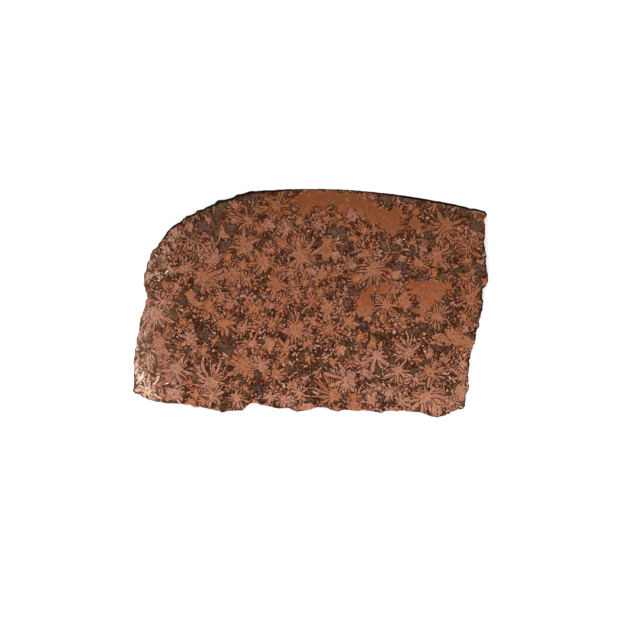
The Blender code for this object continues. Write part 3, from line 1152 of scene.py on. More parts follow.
class Board:
    """A material's node tree, with one method that adds any node.

    COLOUR_MIX and VECTOR_MIX are the Mix node's own two inputs and output for colours and for vectors.
    """

    COLOUR_MIX = (6, 7, 2)
    VECTOR_MIX = (4, 5, 1)

    def __init__(self, material: bpy.types.Material) -> None:
        """Empties the material's tree.

        Args:
            material: the material to fill.
        """
        material.use_nodes = True
        self.tree = material.node_tree
        self.tree.nodes.clear()

    def node(self, kind: str, settings: dict, inputs: dict) -> bpy.types.Node:
        """Adds a node: its settings first, then its sockets' values or links.

        Args:
            kind: the node's type, such as ShaderNodeMath.
            settings: properties by name; stops is a ramp's list of (position, colour).
            inputs: sockets by name or number, each a Number, an Arrow, a node's socket or a value.

        Returns:
            The node.
        """
        made = self.tree.nodes.new(kind)
        for name, value in settings.items():
            if name == "stops":
                self.set_stops(made, value)
            else:
                setattr(made, name, value)
        for name, value in inputs.items():
            socket = made.inputs[name]
            if isinstance(value, (Number, Arrow)):
                self.tree.links.new(value.socket, socket)
            elif isinstance(value, bpy.types.NodeSocket):
                self.tree.links.new(value, socket)
            else:
                socket.default_value = value
        return made

    def set_stops(self, ramp: bpy.types.Node, stops: Sequence[tuple[float, Colour]]) -> None:
        """Gives a colour ramp its stops.

        Args:
            ramp: the ramp's node.
            stops: each stop's position and colour.
        """
        elements = ramp.color_ramp.elements
        while len(elements) > 1:
            elements.remove(elements[-1])
        elements[0].position, elements[0].color = stops[0][0], (*stops[0][1], 1.0)
        for position, colour in stops[1:]:
            elements.new(position).color = (*colour, 1.0)

    def surface(self, inputs: dict) -> None:
        """Ends the material in a Principled surface with these inputs."""
        shader = self.node("ShaderNodeBsdfPrincipled", {}, inputs)
        self.node("ShaderNodeOutputMaterial", {}, {"Surface": shader.outputs[0]})

    def attribute(self, name: str) -> "Arrow":
        """A vector that the mesh carries."""
        made = self.node("ShaderNodeAttribute", {"attribute_name": name}, {})
        return Arrow(self, made.outputs["Vector"])

    def arrow(self, x: "Value", y: "Value", z: "Value") -> "Arrow":
        """A vector of three numbers."""
        return Arrow(self, self.node("ShaderNodeCombineXYZ", {}, {0: x, 1: y, 2: z}).outputs[0])

    def maths(self, operation: str, *values: "Value", clamp: bool = False) -> "Number":
        """A Math node on numbers."""
        settings = {"operation": operation, "use_clamp": clamp}
        return Number(self, self.node("ShaderNodeMath", settings, dict(enumerate(values))).outputs[0])

    def vectors(self, operation: str, *values: object, scale: "Value | None" = None) -> bpy.types.Node:
        """A Vector Math node.

        Args:
            operation: what it does.
            values: its vectors.
            scale: its Scale, where it has one.

        Returns:
            The node.
        """
        inputs = dict(enumerate(values))
        if scale is not None:
            inputs["Scale"] = scale
        return self.node("ShaderNodeVectorMath", {"operation": operation}, inputs)

    def ease(self, value: "Number", low: float, high: float) -> "Number":
        """0 below low, 1 above high and an S-shaped rise between, or a fall where low is the larger.

        Args:
            value: the number to ease.
            low: where it is 0.
            high: where it is 1.

        Returns:
            The eased number.
        """
        made = self.node(
            "ShaderNodeMapRange", {"interpolation_type": "SMOOTHSTEP"},
            {"Value": value, "From Min": low, "From Max": high},
        )
        return Number(self, made.outputs["Result"])

    def ramp(self, stops: Sequence[tuple[float, Colour]], at: "Value") -> bpy.types.NodeSocket:
        """The colour at a place on a colour ramp."""
        return self.node("ShaderNodeValToRGB", {"stops": stops}, {0: at}).outputs[0]

    def blend(
        self, share: "Value", low: bpy.types.NodeSocket, high: object, blend_type: str = "MIX"
    ) -> bpy.types.NodeSocket:
        """A Mix node on colours: low where share is 0, high where it is 1.

        Args:
            share: how much of high.
            low: one colour.
            high: the other, or a plain colour.
            blend_type: how they mix.

        Returns:
            The mixed colour.
        """
        high = (*high, 1.0) if isinstance(high, tuple) else high
        settings = {"data_type": "RGBA", "blend_type": blend_type}
        first, second, mixed = self.COLOUR_MIX
        return self.node("ShaderNodeMix", settings, {0: share, first: low, second: high}).outputs[mixed]

    def lit(self, colour: bpy.types.NodeSocket, light: "Arrow") -> bpy.types.NodeSocket:
        """A colour times a light."""
        return self.blend(1.0, colour, light, "MULTIPLY")

    def blend_arrows(self, share: "Value", low: "Arrow", high: "Arrow") -> "Arrow":
        """A Mix node on vectors.

        Args:
            share: how much of high.
            low: one vector.
            high: the other.

        Returns:
            The mixed vector.
        """
        first, second, mixed = self.VECTOR_MIX
        made = self.node("ShaderNodeMix", {"data_type": "VECTOR"}, {0: share, first: low, second: high})
        return Arrow(self, made.outputs[mixed])


@dataclass(frozen=True)
class Number:
    """A socket that carries a number. Python's operators on it add Math nodes."""

    board: Board
    socket: bpy.types.NodeSocket

    def __add__(self, other: "Value") -> "Number":
        """Sum."""
        return self.board.maths("ADD", self, other)

    def __radd__(self, other: float) -> "Number":
        """Sum, with the number first."""
        return self.board.maths("ADD", other, self)

    def __sub__(self, other: "Value") -> "Number":
        """Difference."""
        return self.board.maths("SUBTRACT", self, other)

    def __rsub__(self, other: float) -> "Number":
        """Difference, with the number first."""
        return self.board.maths("SUBTRACT", other, self)

    def __mul__(self, other: "Value") -> "Number":
        """Product."""
        return self.board.maths("MULTIPLY", self, other)

    def __rmul__(self, other: float) -> "Number":
        """Product, with the number first."""
        return self.board.maths("MULTIPLY", other, self)

    def __truediv__(self, other: "Value") -> "Number":
        """Quotient."""
        return self.board.maths("DIVIDE", self, other)

    def __pow__(self, other: "Value") -> "Number":
        """Power."""
        return self.board.maths("POWER", self, other)

    def clipped(self) -> "Number":
        """The number, held between 0 and 1."""
        return self.board.maths("ADD", self, 0.0, clamp=True)

    def at_least(self, other: "Value") -> "Number":
        """The larger of two numbers."""
        return self.board.maths("MAXIMUM", self, other)

    def between(self, low: float, high: float) -> "Number":
        """low where the number is 0, high where it is 1."""
        return low + (high - low) * self


Value = Union[Number, float]


@dataclass(frozen=True)
class Arrow:
    """A socket that carries a vector. Python's operators on it add Vector Math nodes."""

    board: Board
    socket: bpy.types.NodeSocket

    def __add__(self, other: object) -> "Arrow":
        """Sum of vectors."""
        return Arrow(self.board, self.board.vectors("ADD", self, other).outputs[0])

    def __sub__(self, other: object) -> "Arrow":
        """Difference of vectors."""
        return Arrow(self.board, self.board.vectors("SUBTRACT", self, other).outputs[0])

    def __mul__(self, other: Value) -> "Arrow":
        """The vector times a number."""
        return Arrow(self.board, self.board.vectors("SCALE", self, scale=other).outputs[0])

    __rmul__ = __mul__

    def dot(self, other: "Arrow") -> Number:
        """Dot product."""
        return Number(self.board, self.board.vectors("DOT_PRODUCT", self, other).outputs["Value"])

    def length(self) -> Number:
        """The vector's length."""
        return Number(self.board, self.board.vectors("LENGTH", self).outputs["Value"])

    def parts(self) -> tuple[Number, Number, Number]:
        """Its three numbers."""
        made = self.board.node("ShaderNodeSeparateXYZ", {}, {0: self})
        return tuple(Number(self.board, output) for output in made.outputs)


class StoneBoard(Board):
    """A stone material's node tree. place is where the shaded point lies in the unbent stone."""

    def __init__(self, material: bpy.types.Material) -> None:
        """Empties the material's tree and reads the place.

        Args:
            material: the material to fill.
        """
        super().__init__(material)
        self.place = self.attribute("stone_place")

    def noise_node(self, size: float, detail: float, seed: float) -> bpy.types.Node:
        """A Noise Texture node at the stone's place.

        Args:
            size: the lumps' width.
            detail: how many finer layers it has.
            seed: picks another noise.

        Returns:
            The node.
        """
        moved = self.place + Vector([seed * step for step in NOISE_SEED_STEP])
        inputs = {"Vector": moved, "Scale": 1.0 / size, "Detail": detail}
        return self.node("ShaderNodeTexNoise", {}, inputs)

    def noise(self, size: float, detail: float = 2.0, seed: float = 0.0) -> Number:
        """Noise as a number from 0 to 1."""
        return Number(self, self.noise_node(size, detail, seed).outputs[0])

    def noise_arrow(self, size: float, detail: float = 2.0, seed: float = 0.0) -> Arrow:
        """Noise as a vector of three numbers from -0.5 to 0.5."""
        return Arrow(self, self.noise_node(size, detail, seed).outputs["Color"]) - Vector((0.5, 0.5, 0.5))


def linear(red: int, green: int, blue: int) -> Colour:
    """A colour given as 8-bit screen values, as linear light, by the sRGB curve."""
    shares = (channel / 255 for channel in (red, green, blue))
    return tuple(s / 12.92 if s <= 0.04045 else ((s + 0.055) / 1.055) ** 2.4 for s in shares)


@dataclass(frozen=True)
class Layers:
    """What the painted needles leave at a point.

    layer is 1 on a needle, 0 on matrix and -1 on a pool. ridge is 0 along a needle's light edge and 1 well
    inside it. dark is how much of a dark rim lies there.
    """

    tone: Number
    layer: Number
    ridge: Number
    dark: Number


@dataclass(frozen=True)
class NeedlePaint:
    """Paints a face's needles over each other, with soft edges and dark rims.

    A rim begins past rim_from of a needle's length, and a needle of more than rimless_bluntness has none.
    """

    edge_softness: float = 0.07
    edge_light: Span = (0.02, 0.20)
    rim_width: Span = (0.47, 0.14)
    rim_from: Span = (0.12, 0.34)
    rim_shift: float = 0.12
    sharpest: float = 1.6
    rimless_bluntness: Span = (8.0, 6.5)
    wobble: float = 0.6
    wobble_size: float = 0.9
    bulge: float = 0.95
    bulge_size: float = 1.5
    tip_fade: float = 0.09
    matrix_tone: float = 0.4
    least_tone: float = -0.01

    def layers(self, board: StoneBoard) -> Layers:
        """Paints the needles, the lowest first.

        Args:
            board: the node tree.

        Returns:
            What they leave.
        """
        bulge = board.noise(self.bulge_size, detail=1.0, seed=8.0) - 0.5
        place = board.place + board.noise_arrow(self.wobble_size, detail=1.0) * self.wobble
        state = board.arrow(self.matrix_tone, 0.0, 0.0)
        dark = 0.0
        for index in reversed(range(NEEDLES_PER_FACE)):
            root, tip, form = (board.attribute(f"needle{index}_{part}") for part in ("root", "tip", "form"))
            half_width, bluntness, tone = form.parts()
            axis = tip - root
            reach = place - root
            share = (reach.dot(axis) / axis.dot(axis)).clipped()
            width = (Needles.ROOT_SHARE + Needles.SWELL * share) * (1 - share**bluntness) ** Needles.TAPER
            width = half_width * (width + self.bulge * bulge)
            depth = width - (reach - axis * share).length()
            cover = board.ease(depth, -self.edge_softness, self.edge_softness)
            outer = board.ease(depth, -self.rim_width[0], -self.rim_width[1])
            past_root = board.ease(share + self.rim_shift * (bluntness - self.sharpest), *self.rim_from)
            rim = outer * past_root * board.ease(bluntness, *self.rimless_bluntness)
            is_needle = board.maths("GREATER_THAN", tone, self.least_tone)
            own = board.arrow(tone + self.tip_fade * share, 2 * is_needle - 1, depth)
            state = board.blend_arrows(cover, state, own)
            dark = (rim * is_needle).at_least(dark) * (1 - cover)
        tone, layer, depth = state.parts()
        return Layers(tone, layer, board.ease(depth, *self.edge_light), dark)


@dataclass(frozen=True)
class StoneColours:
    """The polished stone's colours: ramps for its needles, its matrix and its pools, and how they vary.

    Needles whose tone is past even_rust or under dull_tone are lively, and the rust between them is even. The
    colours grow pinker and lighter towards -Y, and pale in blotches at the left end: partly bleached stone,
    partly a painted glare of soft light.
    """

    needles: tuple = (
        (0.0, linear(82, 52, 30)),
        (0.12, linear(132, 86, 62)),
        (0.22, linear(145, 79, 44)),
        (0.32, linear(160, 97, 66)),
        (0.42, linear(162, 102, 72)),
        (0.55, linear(166, 107, 82)),
        (0.72, linear(173, 122, 101)),
        (0.88, linear(206, 162, 138)),
        (1.0, linear(234, 208, 188)),
    )
    matrix: tuple = (
        (0.36, linear(84, 67, 38)),
        (0.44, linear(70, 48, 28)),
        (0.50, linear(98, 70, 48)),
        (0.56, linear(78, 50, 38)),
        (0.64, linear(88, 70, 58)),
    )
    pools: tuple = (
        (0.36, linear(72, 57, 35)),
        (0.44, linear(92, 69, 44)),
        (0.50, linear(74, 48, 32)),
        (0.57, linear(92, 62, 52)),
        (0.66, linear(72, 58, 47)),
    )
    rim: Colour = linear(52, 14, 0)
    rim_on_matrix: float = 0.83
    rim_on_needle: float = 1.0
    depth_of_colour: float = 0.645

    # Where layer counts as a needle, and as a pool
    on_needle: Span = (0.1, 0.7)
    on_pool: Span = (-0.05, -0.6)

    # The left end: partly bleached stone, partly a painted glare
    bleach_glare_matrix: Colour = linear(150, 112, 90)
    bleach_glare_most: float = 0.47
    bleach_glare_from: Span = (-51.0, -76.0)
    bleach_glare_slant: float = 0.08
    bleach_glare_drift: float = 18.0
    matrix_bleach_glare: float = 0.4
    rim_bleach_glare: float = 0.5

    # Noise sizes
    fine_size: float = 0.7
    hue_size: float = 2.6
    patchy_size: float = 3.5
    broad_size: float = 9.0
    tint_size: float = 1.6
    grain_size: float = 0.5

    # A needle's tone and light
    even_rust: Span = (0.27, 0.34)
    dull_tone: Span = (0.2, 0.15)
    hue_from: Span = (0.20, 0.34)
    hue_drift: float = 0.24
    pinker_south: float = 0.05
    edge_light: float = 1.20
    ridge_shade: float = 0.42
    even_mottle: float = 0.15
    lively_mottle: float = 0.35
    lighter_south: float = 0.18

    # Shares of the noises that pick a place on the ramps: fine and patchy, and broad, patchy and fine
    matrix_mix: tuple[float, float] = (0.30, 0.70)
    matrix_south: float = 0.06
    pool_mix: tuple[float, float, float] = (0.7, 0.2, 0.1)

    # Tints and grain over everything
    matrix_tint: float = 0.80
    needle_tint: float = 0.62
    even_tint: float = 0.35
    grain_edge: Span = (0.3, 0.7)
    grain_depth: float = 0.9
    needle_calm: float = 0.5
    even_grain: float = 0.25

    def bleach_and_glare(self, board: StoneBoard) -> Number:
        """How far the stone pales: most at the left end, in blotches. It is partly bleaching and partly a
        painted glare.

        Args:
            board: the node tree.

        Returns:
            The share, from 0 to the most it reaches.
        """
        x, y, _ = board.place.parts()
        drift = board.noise(self.broad_size, seed=4.0) - 0.5
        along = x + self.bleach_glare_slant * y + self.bleach_glare_drift * drift
        return self.bleach_glare_most * board.ease(along, *self.bleach_glare_from)

    def colour(self, board: StoneBoard, layers: Layers) -> bpy.types.NodeSocket:
        """The polished stone's colour.

        Args:
            board: the node tree.
            layers: what the needles leave there.

        Returns:
            The colour.
        """
        # Painted glare and bleaching pale the left end
        bleach_and_glare = self.bleach_and_glare(board)
        tone = layers.tone + (1.0 - layers.tone) * bleach_and_glare
        fine = board.noise(self.fine_size, detail=3.0, seed=1.0)
        north = board.place.parts()[1] / SlabSkin.half_height
        on_needle = board.ease(layers.layer, *self.on_needle)
        lively = board.ease(tone, *self.even_rust).at_least(board.ease(tone, *self.dull_tone))
        needle = self.needle_colour(board, tone, lively, layers.ridge, fine, north)
        ground = self.ground_colour(board, layers.layer, fine, north)
        colour = board.blend(on_needle, ground, needle)
        dark = layers.dark * (1 - self.rim_bleach_glare * bleach_and_glare)
        dark = dark * on_needle.between(self.rim_on_matrix, self.rim_on_needle)
        colour = board.blend(dark, colour, self.rim)
        colour = board.lit(colour, self.grain(board, on_needle, 1 - (1 - lively) * on_needle))
        # The matrix at the left end pales too: bleaching with a painted glare over it
        return board.blend(self.matrix_bleach_glare * bleach_and_glare * (1 - on_needle), colour, self.bleach_glare_matrix)

    def needle_colour(
        self, board: StoneBoard, tone: Number, lively: Number, ridge: Number, fine: Number, north: Number
    ) -> bpy.types.NodeSocket:
        """A needle's colour: its place on the ramp drifts, and its edges are lighter than its ridge.

        Args:
            board: the node tree.
            tone: the needle's tone.
            lively: 0 on even rust, 1 on the rest.
            ridge: the needle's middle.
            fine: fine noise.
            north: how far towards +Y the point lies, from -1 to 1.

        Returns:
            The colour.
        """
        hue = board.noise(self.hue_size, detail=1.0, seed=10.0) - 0.5
        tone = tone + (self.hue_drift * hue - self.pinker_south * north) * board.ease(tone, *self.hue_from)
        light = self.edge_light - self.ridge_shade * ridge
        mottle = (self.even_mottle + self.lively_mottle * lively) * (fine - 0.5)
        light = light + mottle - self.lighter_south * north
        return board.lit(board.ramp(self.needles, tone), board.arrow(light, light, light))

    def ground_colour(
        self, board: StoneBoard, layer: Number, fine: Number, north: Number
    ) -> bpy.types.NodeSocket:
        """The colour between the needles.

        Args:
            board: the node tree.
            layer: 0 on matrix, -1 on a pool.
            fine: fine noise.
            north: how far towards +Y the point lies, from -1 to 1.

        Returns:
            The colour.
        """
        broad = board.noise(self.broad_size, seed=2.0)
        patchy = board.noise(self.patchy_size, seed=7.0)
        in_matrix = self.matrix_mix[0] * fine + self.matrix_mix[1] * patchy - self.matrix_south * north
        in_pool = broad * self.pool_mix[0] + patchy * self.pool_mix[1] + fine * self.pool_mix[2]
        matrix, pool = board.ramp(self.matrix, in_matrix), board.ramp(self.pools, in_pool)
        return board.blend(board.ease(layer, *self.on_pool), matrix, pool)

    def grain(self, board: StoneBoard, on_needle: Number, lively: Number) -> Arrow:
        """The light that tints and speckles the stone.

        Args:
            board: the node tree.
            on_needle: 1 on a needle, 0 between them.
            lively: 0 on even rust, 1 on the rest.

        Returns:
            The light.
        """
        tint = on_needle.between(self.matrix_tint, self.needle_tint) * lively.between(self.even_tint, 1.0)
        tinted = board.noise_arrow(self.tint_size, seed=11.0) * tint + Vector((1.0, 1.0, 1.0))
        grain = board.noise(self.grain_size, detail=0.0, seed=9.0)
        grain = board.ease(grain, *self.grain_edge) - 0.5
        depth = self.grain_depth * grain * (1 - self.needle_calm * on_needle)
        return tinted * (self.depth_of_colour * (1.0 + depth * lively.between(self.even_grain, 1.0)))


@dataclass(frozen=True)
class Sides:
    """How far a point belongs to the broken wall, to the sawn back and to the near-black edge band, each from
    0 to 1.
    """

    wall: Number
    back: Number
    dark_edge: Number


@dataclass(frozen=True)
class SlabFinish:
    """What the slab's sides add to the stone: the dull broken wall, the near-black edge band and the dusty
    sawn back.

    wall_fade is how far below the polished face the wall's dullness begins and is full. The saw's lines are
    arcs about saw_centre, saw_pitch radians of a sine for each millimetre.
    """

    # Colours

    wall: Colour = linear(96, 66, 50)
    # Near-black, on the wall from the right end round the upper edge, and on the polished face beside it
    dark_edge: Colour = linear(9, 5, 4)
    dust: Colour = linear(150, 124, 108)
    stain_size: float = 2.4
    stain_edge: Span = (0.4, 0.6)
    wall_dullness: Span = (0.3, 0.7)
    dark_edge_cover: float = 0.86
    dark_edge_blotches: float = 0.4
    dust_cover: float = 0.35
    wall_fade: Span = (0.25, 1.5)
    band_fray: float = 1.6
    fray_size: float = 1.6
    band_softness: float = 0.07

    # Roughness
    roughness: float = 0.30
    matrix_roughness: float = 0.10
    polish_edge: Span = (-0.2, 0.9)
    wall_roughness: float = 0.40
    back_roughness: float = 0.32
    uneven_roughness: float = 0.10
    uneven_size: float = 6.0

    # Relief
    grit_size: float = 0.35
    layer_height: float = 0.006
    ridge_height: float = 0.004
    polish_grit: float = 0.006
    wall_grit: float = 0.22
    saw_centre: tuple[float, float, float] = (-190.0, 60.0, 0.0)
    saw_pitch: float = 3.2
    saw_fray: float = 2.0
    saw_height: float = 0.02

    def sides(self, board: StoneBoard) -> Sides:
        """Reads the sides from what the mesh carries. The near-black edge band frays on to the polished face.

        Args:
            board: the node tree.

        Returns:
            The sides.
        """
        wall, back, dark_edge = board.attribute("finish").parts()
        from_rim, band, _ = board.attribute("rim").parts()
        fray = board.noise(self.fray_size, seed=12.0) - 0.5
        inside = band * (1 + self.band_fray * fray) - from_rim
        dark_edge = dark_edge.at_least(board.ease(inside, -self.band_softness, self.band_softness))
        low, high = (THICKNESS - below for below in self.wall_fade)
        return Sides(wall * board.ease(board.place.parts()[2], low, high), back, dark_edge)

    def colour(self, board: StoneBoard, stone: bpy.types.NodeSocket, sides: Sides) -> bpy.types.NodeSocket:
        """Dulls the walls, lays the near-black edge band along the upper edge and dusts the sawn back.

        Args:
            board: the node tree.
            stone: the polished stone's colour.
            sides: the sides' shares.

        Returns:
            The surface's colour.
        """
        stain = board.noise(self.stain_size, detail=3.0, seed=5.0)
        dull = board.blend(board.ease(stain, *self.stain_edge).between(*self.wall_dullness), stone, self.wall)
        colour = board.blend(sides.wall, stone, dull)
        blotches = self.dark_edge_blotches * (stain - self.stain_edge[0])
        colour = board.blend(sides.dark_edge * (self.dark_edge_cover + blotches), colour, self.dark_edge)
        return board.blend(sides.back * self.dust_cover, colour, self.dust)

    def gloss(self, board: StoneBoard, layer: Number, sides: Sides) -> Number:
        """The surface's roughness: least on polished needles.

        Args:
            board: the node tree.
            layer: 1 needle, 0 matrix, -1 pool.
            sides: the sides' shares.

        Returns:
            The roughness.
        """
        rough = self.roughness + self.matrix_roughness * (1 - board.ease(layer, *self.polish_edge))
        rough = rough + self.wall_roughness * sides.wall + self.back_roughness * sides.back
        return rough + self.uneven_roughness * (board.noise(self.uneven_size, seed=3.0) - 0.5)

    def relief(self, board: StoneBoard, layers: Layers, sides: Sides) -> bpy.types.NodeSocket:
        """Fine relief: needles stand a hair proud of the polish, the wall is gritty, the back is sawn.

        Args:
            board: the node tree.
            layers: what the needles leave there.
            sides: the sides' shares.

        Returns:
            The normal.
        """
        grit = board.noise(self.grit_size, detail=4.0, seed=6.0)
        radius = (board.place - Vector(self.saw_centre)).length()
        saw = board.maths("SINE", radius * self.saw_pitch + self.saw_fray * grit)
        polish = self.layer_height * layers.layer + self.ridge_height * layers.ridge + self.polish_grit * grit
        height = polish * (1 - sides.wall) + sides.wall * grit * self.wall_grit
        height = height + sides.back * saw * self.saw_height
        inputs = {"Strength": 1.0, "Distance": MM, "Height": height}
        return board.node("ShaderNodeBump", {}, inputs).outputs[0]


@dataclass(frozen=True)
class FlowerRhyolite:
    """The slab's stone: needles over a matrix, with the finish of each side."""

    paint: NeedlePaint = NeedlePaint()
    colours: StoneColours = StoneColours()
    finish: SlabFinish = SlabFinish()
    ior: float = 1.5

    def material(self, name: str, gloss: float) -> bpy.types.Material:
        """Builds the material.

        Args:
            name: its name.
            gloss: its specular level.

        Returns:
            The stone's material.
        """
        made = bpy.data.materials.new(name)
        board = StoneBoard(made)
        layers = self.paint.layers(board)
        sides = self.finish.sides(board)
        stone = self.colours.colour(board, layers)
        board.surface({
            "Base Color": self.finish.colour(board, stone, sides),
            "Roughness": self.finish.gloss(board, layers.layer, sides),
            "Normal": self.finish.relief(board, layers, sides),
            "IOR": self.ior,
            "Specular IOR Level": gloss,
        })
        return made


@dataclass
class RhyoliteSlab:
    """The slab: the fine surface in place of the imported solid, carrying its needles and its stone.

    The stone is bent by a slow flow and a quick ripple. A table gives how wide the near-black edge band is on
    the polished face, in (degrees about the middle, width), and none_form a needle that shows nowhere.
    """

    skin: SlabSkin = field(default_factory=SlabSkin)
    growth: StoneGrowth = StoneGrowth()
    stone: FlowerRhyolite = FlowerRhyolite()
    polish_gloss: float = 0.05
    break_gloss: float = 0.0
    flow_size: float = 5.5
    flow_depth: float = 0.55
    ripple_size: float = 2.2
    ripple_depth: float = 0.38
    dark_edge_band: tuple = (
        (20.0, -0.3), (28.0, 0.25), (40.0, 0.4), (58.0, 0.25), (68.0, -0.1), (92.0, -0.1),
        (104.0, 0.35), (122.0, 0.5), (140.0, 0.25), (152.0, 0.0), (168.0, -0.3),
    )
    dark_edge_begin_deg: Span = (-40.0, -20.0)
    dark_edge_end_deg: Span = (164.0, 156.0)
    dark_edge_below: Span = (0.02, 0.22)
    none_form: tuple[float, float, float] = (-9.0, 1.0, 0.0)

    def flowed(self, points: np.ndarray) -> np.ndarray:
        """Where each point lies in the unbent stone: moved in X and Y by two soft noises, to bend the petals.

        Args:
            points: places on the surface.

        Returns:
            Places in the unbent stone.
        """
        moved = points.copy()
        for axis in range(2):
            moved[:, axis] += self.flow_depth * soft_noise(points, self.flow_size, seed=70.0 + axis)
            moved[:, axis] += self.ripple_depth * soft_noise(points, self.ripple_size, seed=75.0 + axis)
        return moved

    def build(self) -> bpy.types.Object:
        """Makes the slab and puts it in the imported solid's place.

        Returns:
            The slab.
        """
        shell = self.skin.shell()
        mesh = shell.mesh(NODE + "_stone")
        places = self.flowed(shell.points)
        needles = self.growth.grow()
        chosen = NeedlePicker(needles).pick(shell.face_means(places))
        log.info("the stone holds %d needles, rods and patches", len(needles.rank))
        log.info("faces with no place left: %d of %d", int((chosen[:, -1] >= 0).sum()), len(chosen))
        self.write(mesh, "stone_place", "POINT", places)
        self.write(mesh, "finish", "FACE", self.finish(shell))
        self.write(mesh, "rim", "POINT", self.rim(shell))
        self.write_needles(mesh, needles, chosen)
        slab = bpy.data.objects.new(NODE + "_stone", mesh)
        bpy.context.scene.collection.objects.link(slab)
        mesh.materials.append(self.stone.material("polished_rhyolite", self.polish_gloss))
        mesh.materials.append(self.stone.material("broken_rhyolite", self.break_gloss))
        mesh.polygons.foreach_set("material_index", (shell.side == Side.WALL.value).astype(np.int32))
        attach(slab, "root")
        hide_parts(NODE)
        return slab

    def write_needles(self, mesh: bpy.types.Mesh, needles: Needles, chosen: np.ndarray) -> None:
        """Writes each face's needles as attributes: root, tip, and form (half width, bluntness, tone).

        Args:
            mesh: the slab's mesh.
            needles: all needles.
            chosen: each face's needles, -1 where there is none.
        """
        for index, at in enumerate(chosen.T):
            form = np.stack((needles.half_width[at], needles.bluntness[at], needles.tone[at]), axis=-1)
            form[at < 0] = self.none_form
            for name, values in (("root", needles.root[at]), ("tip", needles.tip[at]), ("form", form)):
                self.write(mesh, f"needle{index}_{name}", "FACE", values)

    def finish(self, shell: Shell) -> np.ndarray:
        """The finish of each face: its wall, back and near-black edge band shares.

        Args:
            shell: the slab's surface.

        Returns:
            Three shares for each face.
        """
        centres = shell.face_means(shell.points)
        degrees = np.degrees(np.arctan2(centres[:, 1], centres[:, 0]))
        wall = shell.side == Side.WALL.value
        back = shell.side == Side.BACK.value
        # The near-black edge band: on the wall from the right end round the upper edge
        dark_edge = straight(degrees, *self.dark_edge_begin_deg) * straight(degrees, *self.dark_edge_end_deg)
        dark_edge = dark_edge * wall * straight(THICKNESS - centres[:, 2], *self.dark_edge_below)
        return np.stack((wall, back, dark_edge), axis=-1)

    def rim(self, shell: Shell) -> np.ndarray:
        """Each point's distance from the slab's rim, and how wide the near-black edge band is there.

        Args:
            shell: the slab's surface.

        Returns:
            Distance, width and 0 for each point.
        """
        degrees = np.degrees(np.arctan2(shell.points[:, 1], shell.points[:, 0]))
        turns, widths = zip(*self.dark_edge_band)
        width = np.interp(degrees, turns, widths)
        return np.stack((shell.from_rim, width, 0 * width), axis=-1)

    def write(self, mesh: bpy.types.Mesh, name: str, domain: str, values: np.ndarray) -> None:
        """Adds a vector attribute."""
        made = mesh.attributes.new(name, "FLOAT_VECTOR", domain)
        made.data.foreach_set("vector", values.astype(np.float32).ravel())


@dataclass(frozen=True)
class Softbox:
    """A square light that faces the slab: its place and side in metres, and its power in watts."""

    name: str
    place: tuple[float, float, float]
    power: float
    side: float = 0.9

    def hang(self) -> None:
        """Adds the light."""
        data = bpy.data.lights.new(self.name, "AREA")
        data.shape = "SQUARE"
        data.size = self.side
        data.energy = self.power
        light = bpy.data.objects.new(self.name, data)
        light.location = self.place
        light.rotation_euler = (-Vector(self.place)).to_track_quat("-Z", "Y").to_euler()
        bpy.context.scene.collection.objects.link(light)


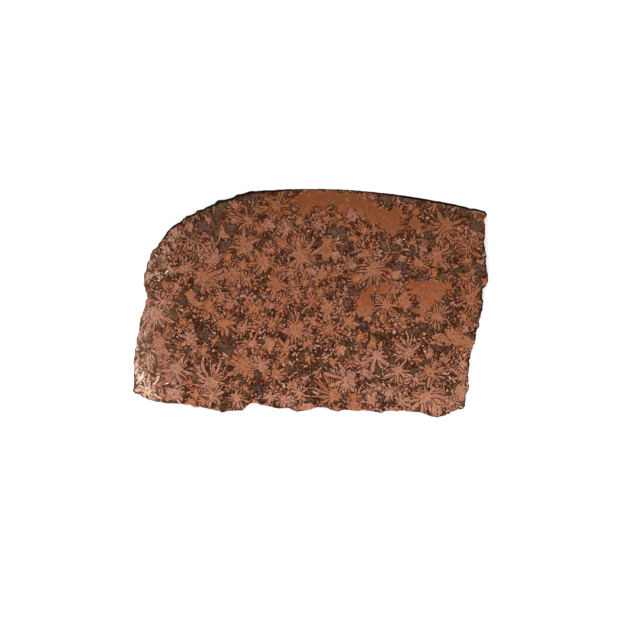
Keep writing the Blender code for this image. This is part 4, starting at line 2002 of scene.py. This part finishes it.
@dataclass
class Studio:
    """A plain pale floor, soft light and a long lens that looks down on the slab as the photograph does.

    image_px is the photograph's width and height, and slab_middle_px where the slab's middle lies in it.
    """

    image_px: int = 620
    mm_per_px: float = 0.3975
    slab_middle_px: tuple[float, float] = (310.5, 303.4)
    lens: float = 200.0
    sensor: float = 36.0
    tilt_deg: float = 1.5
    floor_half: float = 6000.0
    floor_gap: float = 0.2
    floor_paint: Colour = (0.98, 0.98, 0.98)
    floor_roughness: float = 0.9
    sky_strength: float = 0.42
    softboxes: tuple[Softbox, ...] = (
        Softbox("key", (-0.60, 0.60, 0.80), 14.6),
        Softbox("fill", (0.80, -0.10, 0.75), 9.6),
        Softbox("low fill", (-0.15, -0.85, 0.75), 10.6),
    )

    def camera(self) -> None:
        """Places the camera so that a pixel at the polished face is mm_per_px wide."""
        data = bpy.data.cameras.new("camera")
        data.lens = self.lens
        data.sensor_width = self.sensor
        distance = self.image_px * self.mm_per_px * self.lens / self.sensor * MM
        middle = self.image_px / 2
        aim = Vector((
            (middle - self.slab_middle_px[0]) * self.mm_per_px * MM,
            (self.slab_middle_px[1] - middle) * self.mm_per_px * MM,
            THICKNESS * MM,
        ))
        tilt = math.radians(self.tilt_deg)
        camera = bpy.data.objects.new("camera", data)
        camera.location = aim + distance * Vector((0.0, math.sin(tilt), math.cos(tilt)))
        camera.rotation_euler = (-tilt, 0.0, 0.0)
        bpy.context.scene.collection.objects.link(camera)
        bpy.context.scene.camera = camera

    def floor(self) -> None:
        """A large white floor, a hair under the slab."""
        half = self.floor_half * MM
        mesh = bpy.data.meshes.new("floor")
        corners = [(-half, -half, 0.0), (half, -half, 0.0), (half, half, 0.0), (-half, half, 0.0)]
        mesh.from_pydata(corners, [], [(0, 1, 2, 3)])
        floor = bpy.data.objects.new("floor", mesh)
        floor.location.z = -self.floor_gap * MM
        bpy.context.scene.collection.objects.link(floor)
        paint = bpy.data.materials.new("floor_paint")
        Board(paint).surface({"Base Color": (*self.floor_paint, 1.0), "Roughness": self.floor_roughness})
        mesh.materials.append(paint)

    def world(self) -> None:
        """An even, dim white sky."""
        sky = bpy.data.worlds.new("sky")
        sky.use_nodes = True
        background = sky.node_tree.nodes["Background"]
        background.inputs["Color"].default_value = (1.0, 1.0, 1.0, 1.0)
        background.inputs["Strength"].default_value = self.sky_strength
        bpy.context.scene.world = sky

    def build(self) -> None:
        """Sets up everything round the slab."""
        self.floor()
        self.world()
        for softbox in self.softboxes:
            softbox.hang()
        self.camera()
        bpy.context.scene.view_settings.view_transform = "Standard"


def main() -> None:
    """Builds the studio and the slab, and reports the slab."""
    logging.basicConfig(level=logging.INFO, format="%(name)s: %(message)s")
    Studio().build()
    slab = RhyoliteSlab().build()
    log.info("%s has %d faces", slab.name, len(slab.data.polygons))
    bpy.context.view_layer.update()


if __name__ == "__main__":
    main()
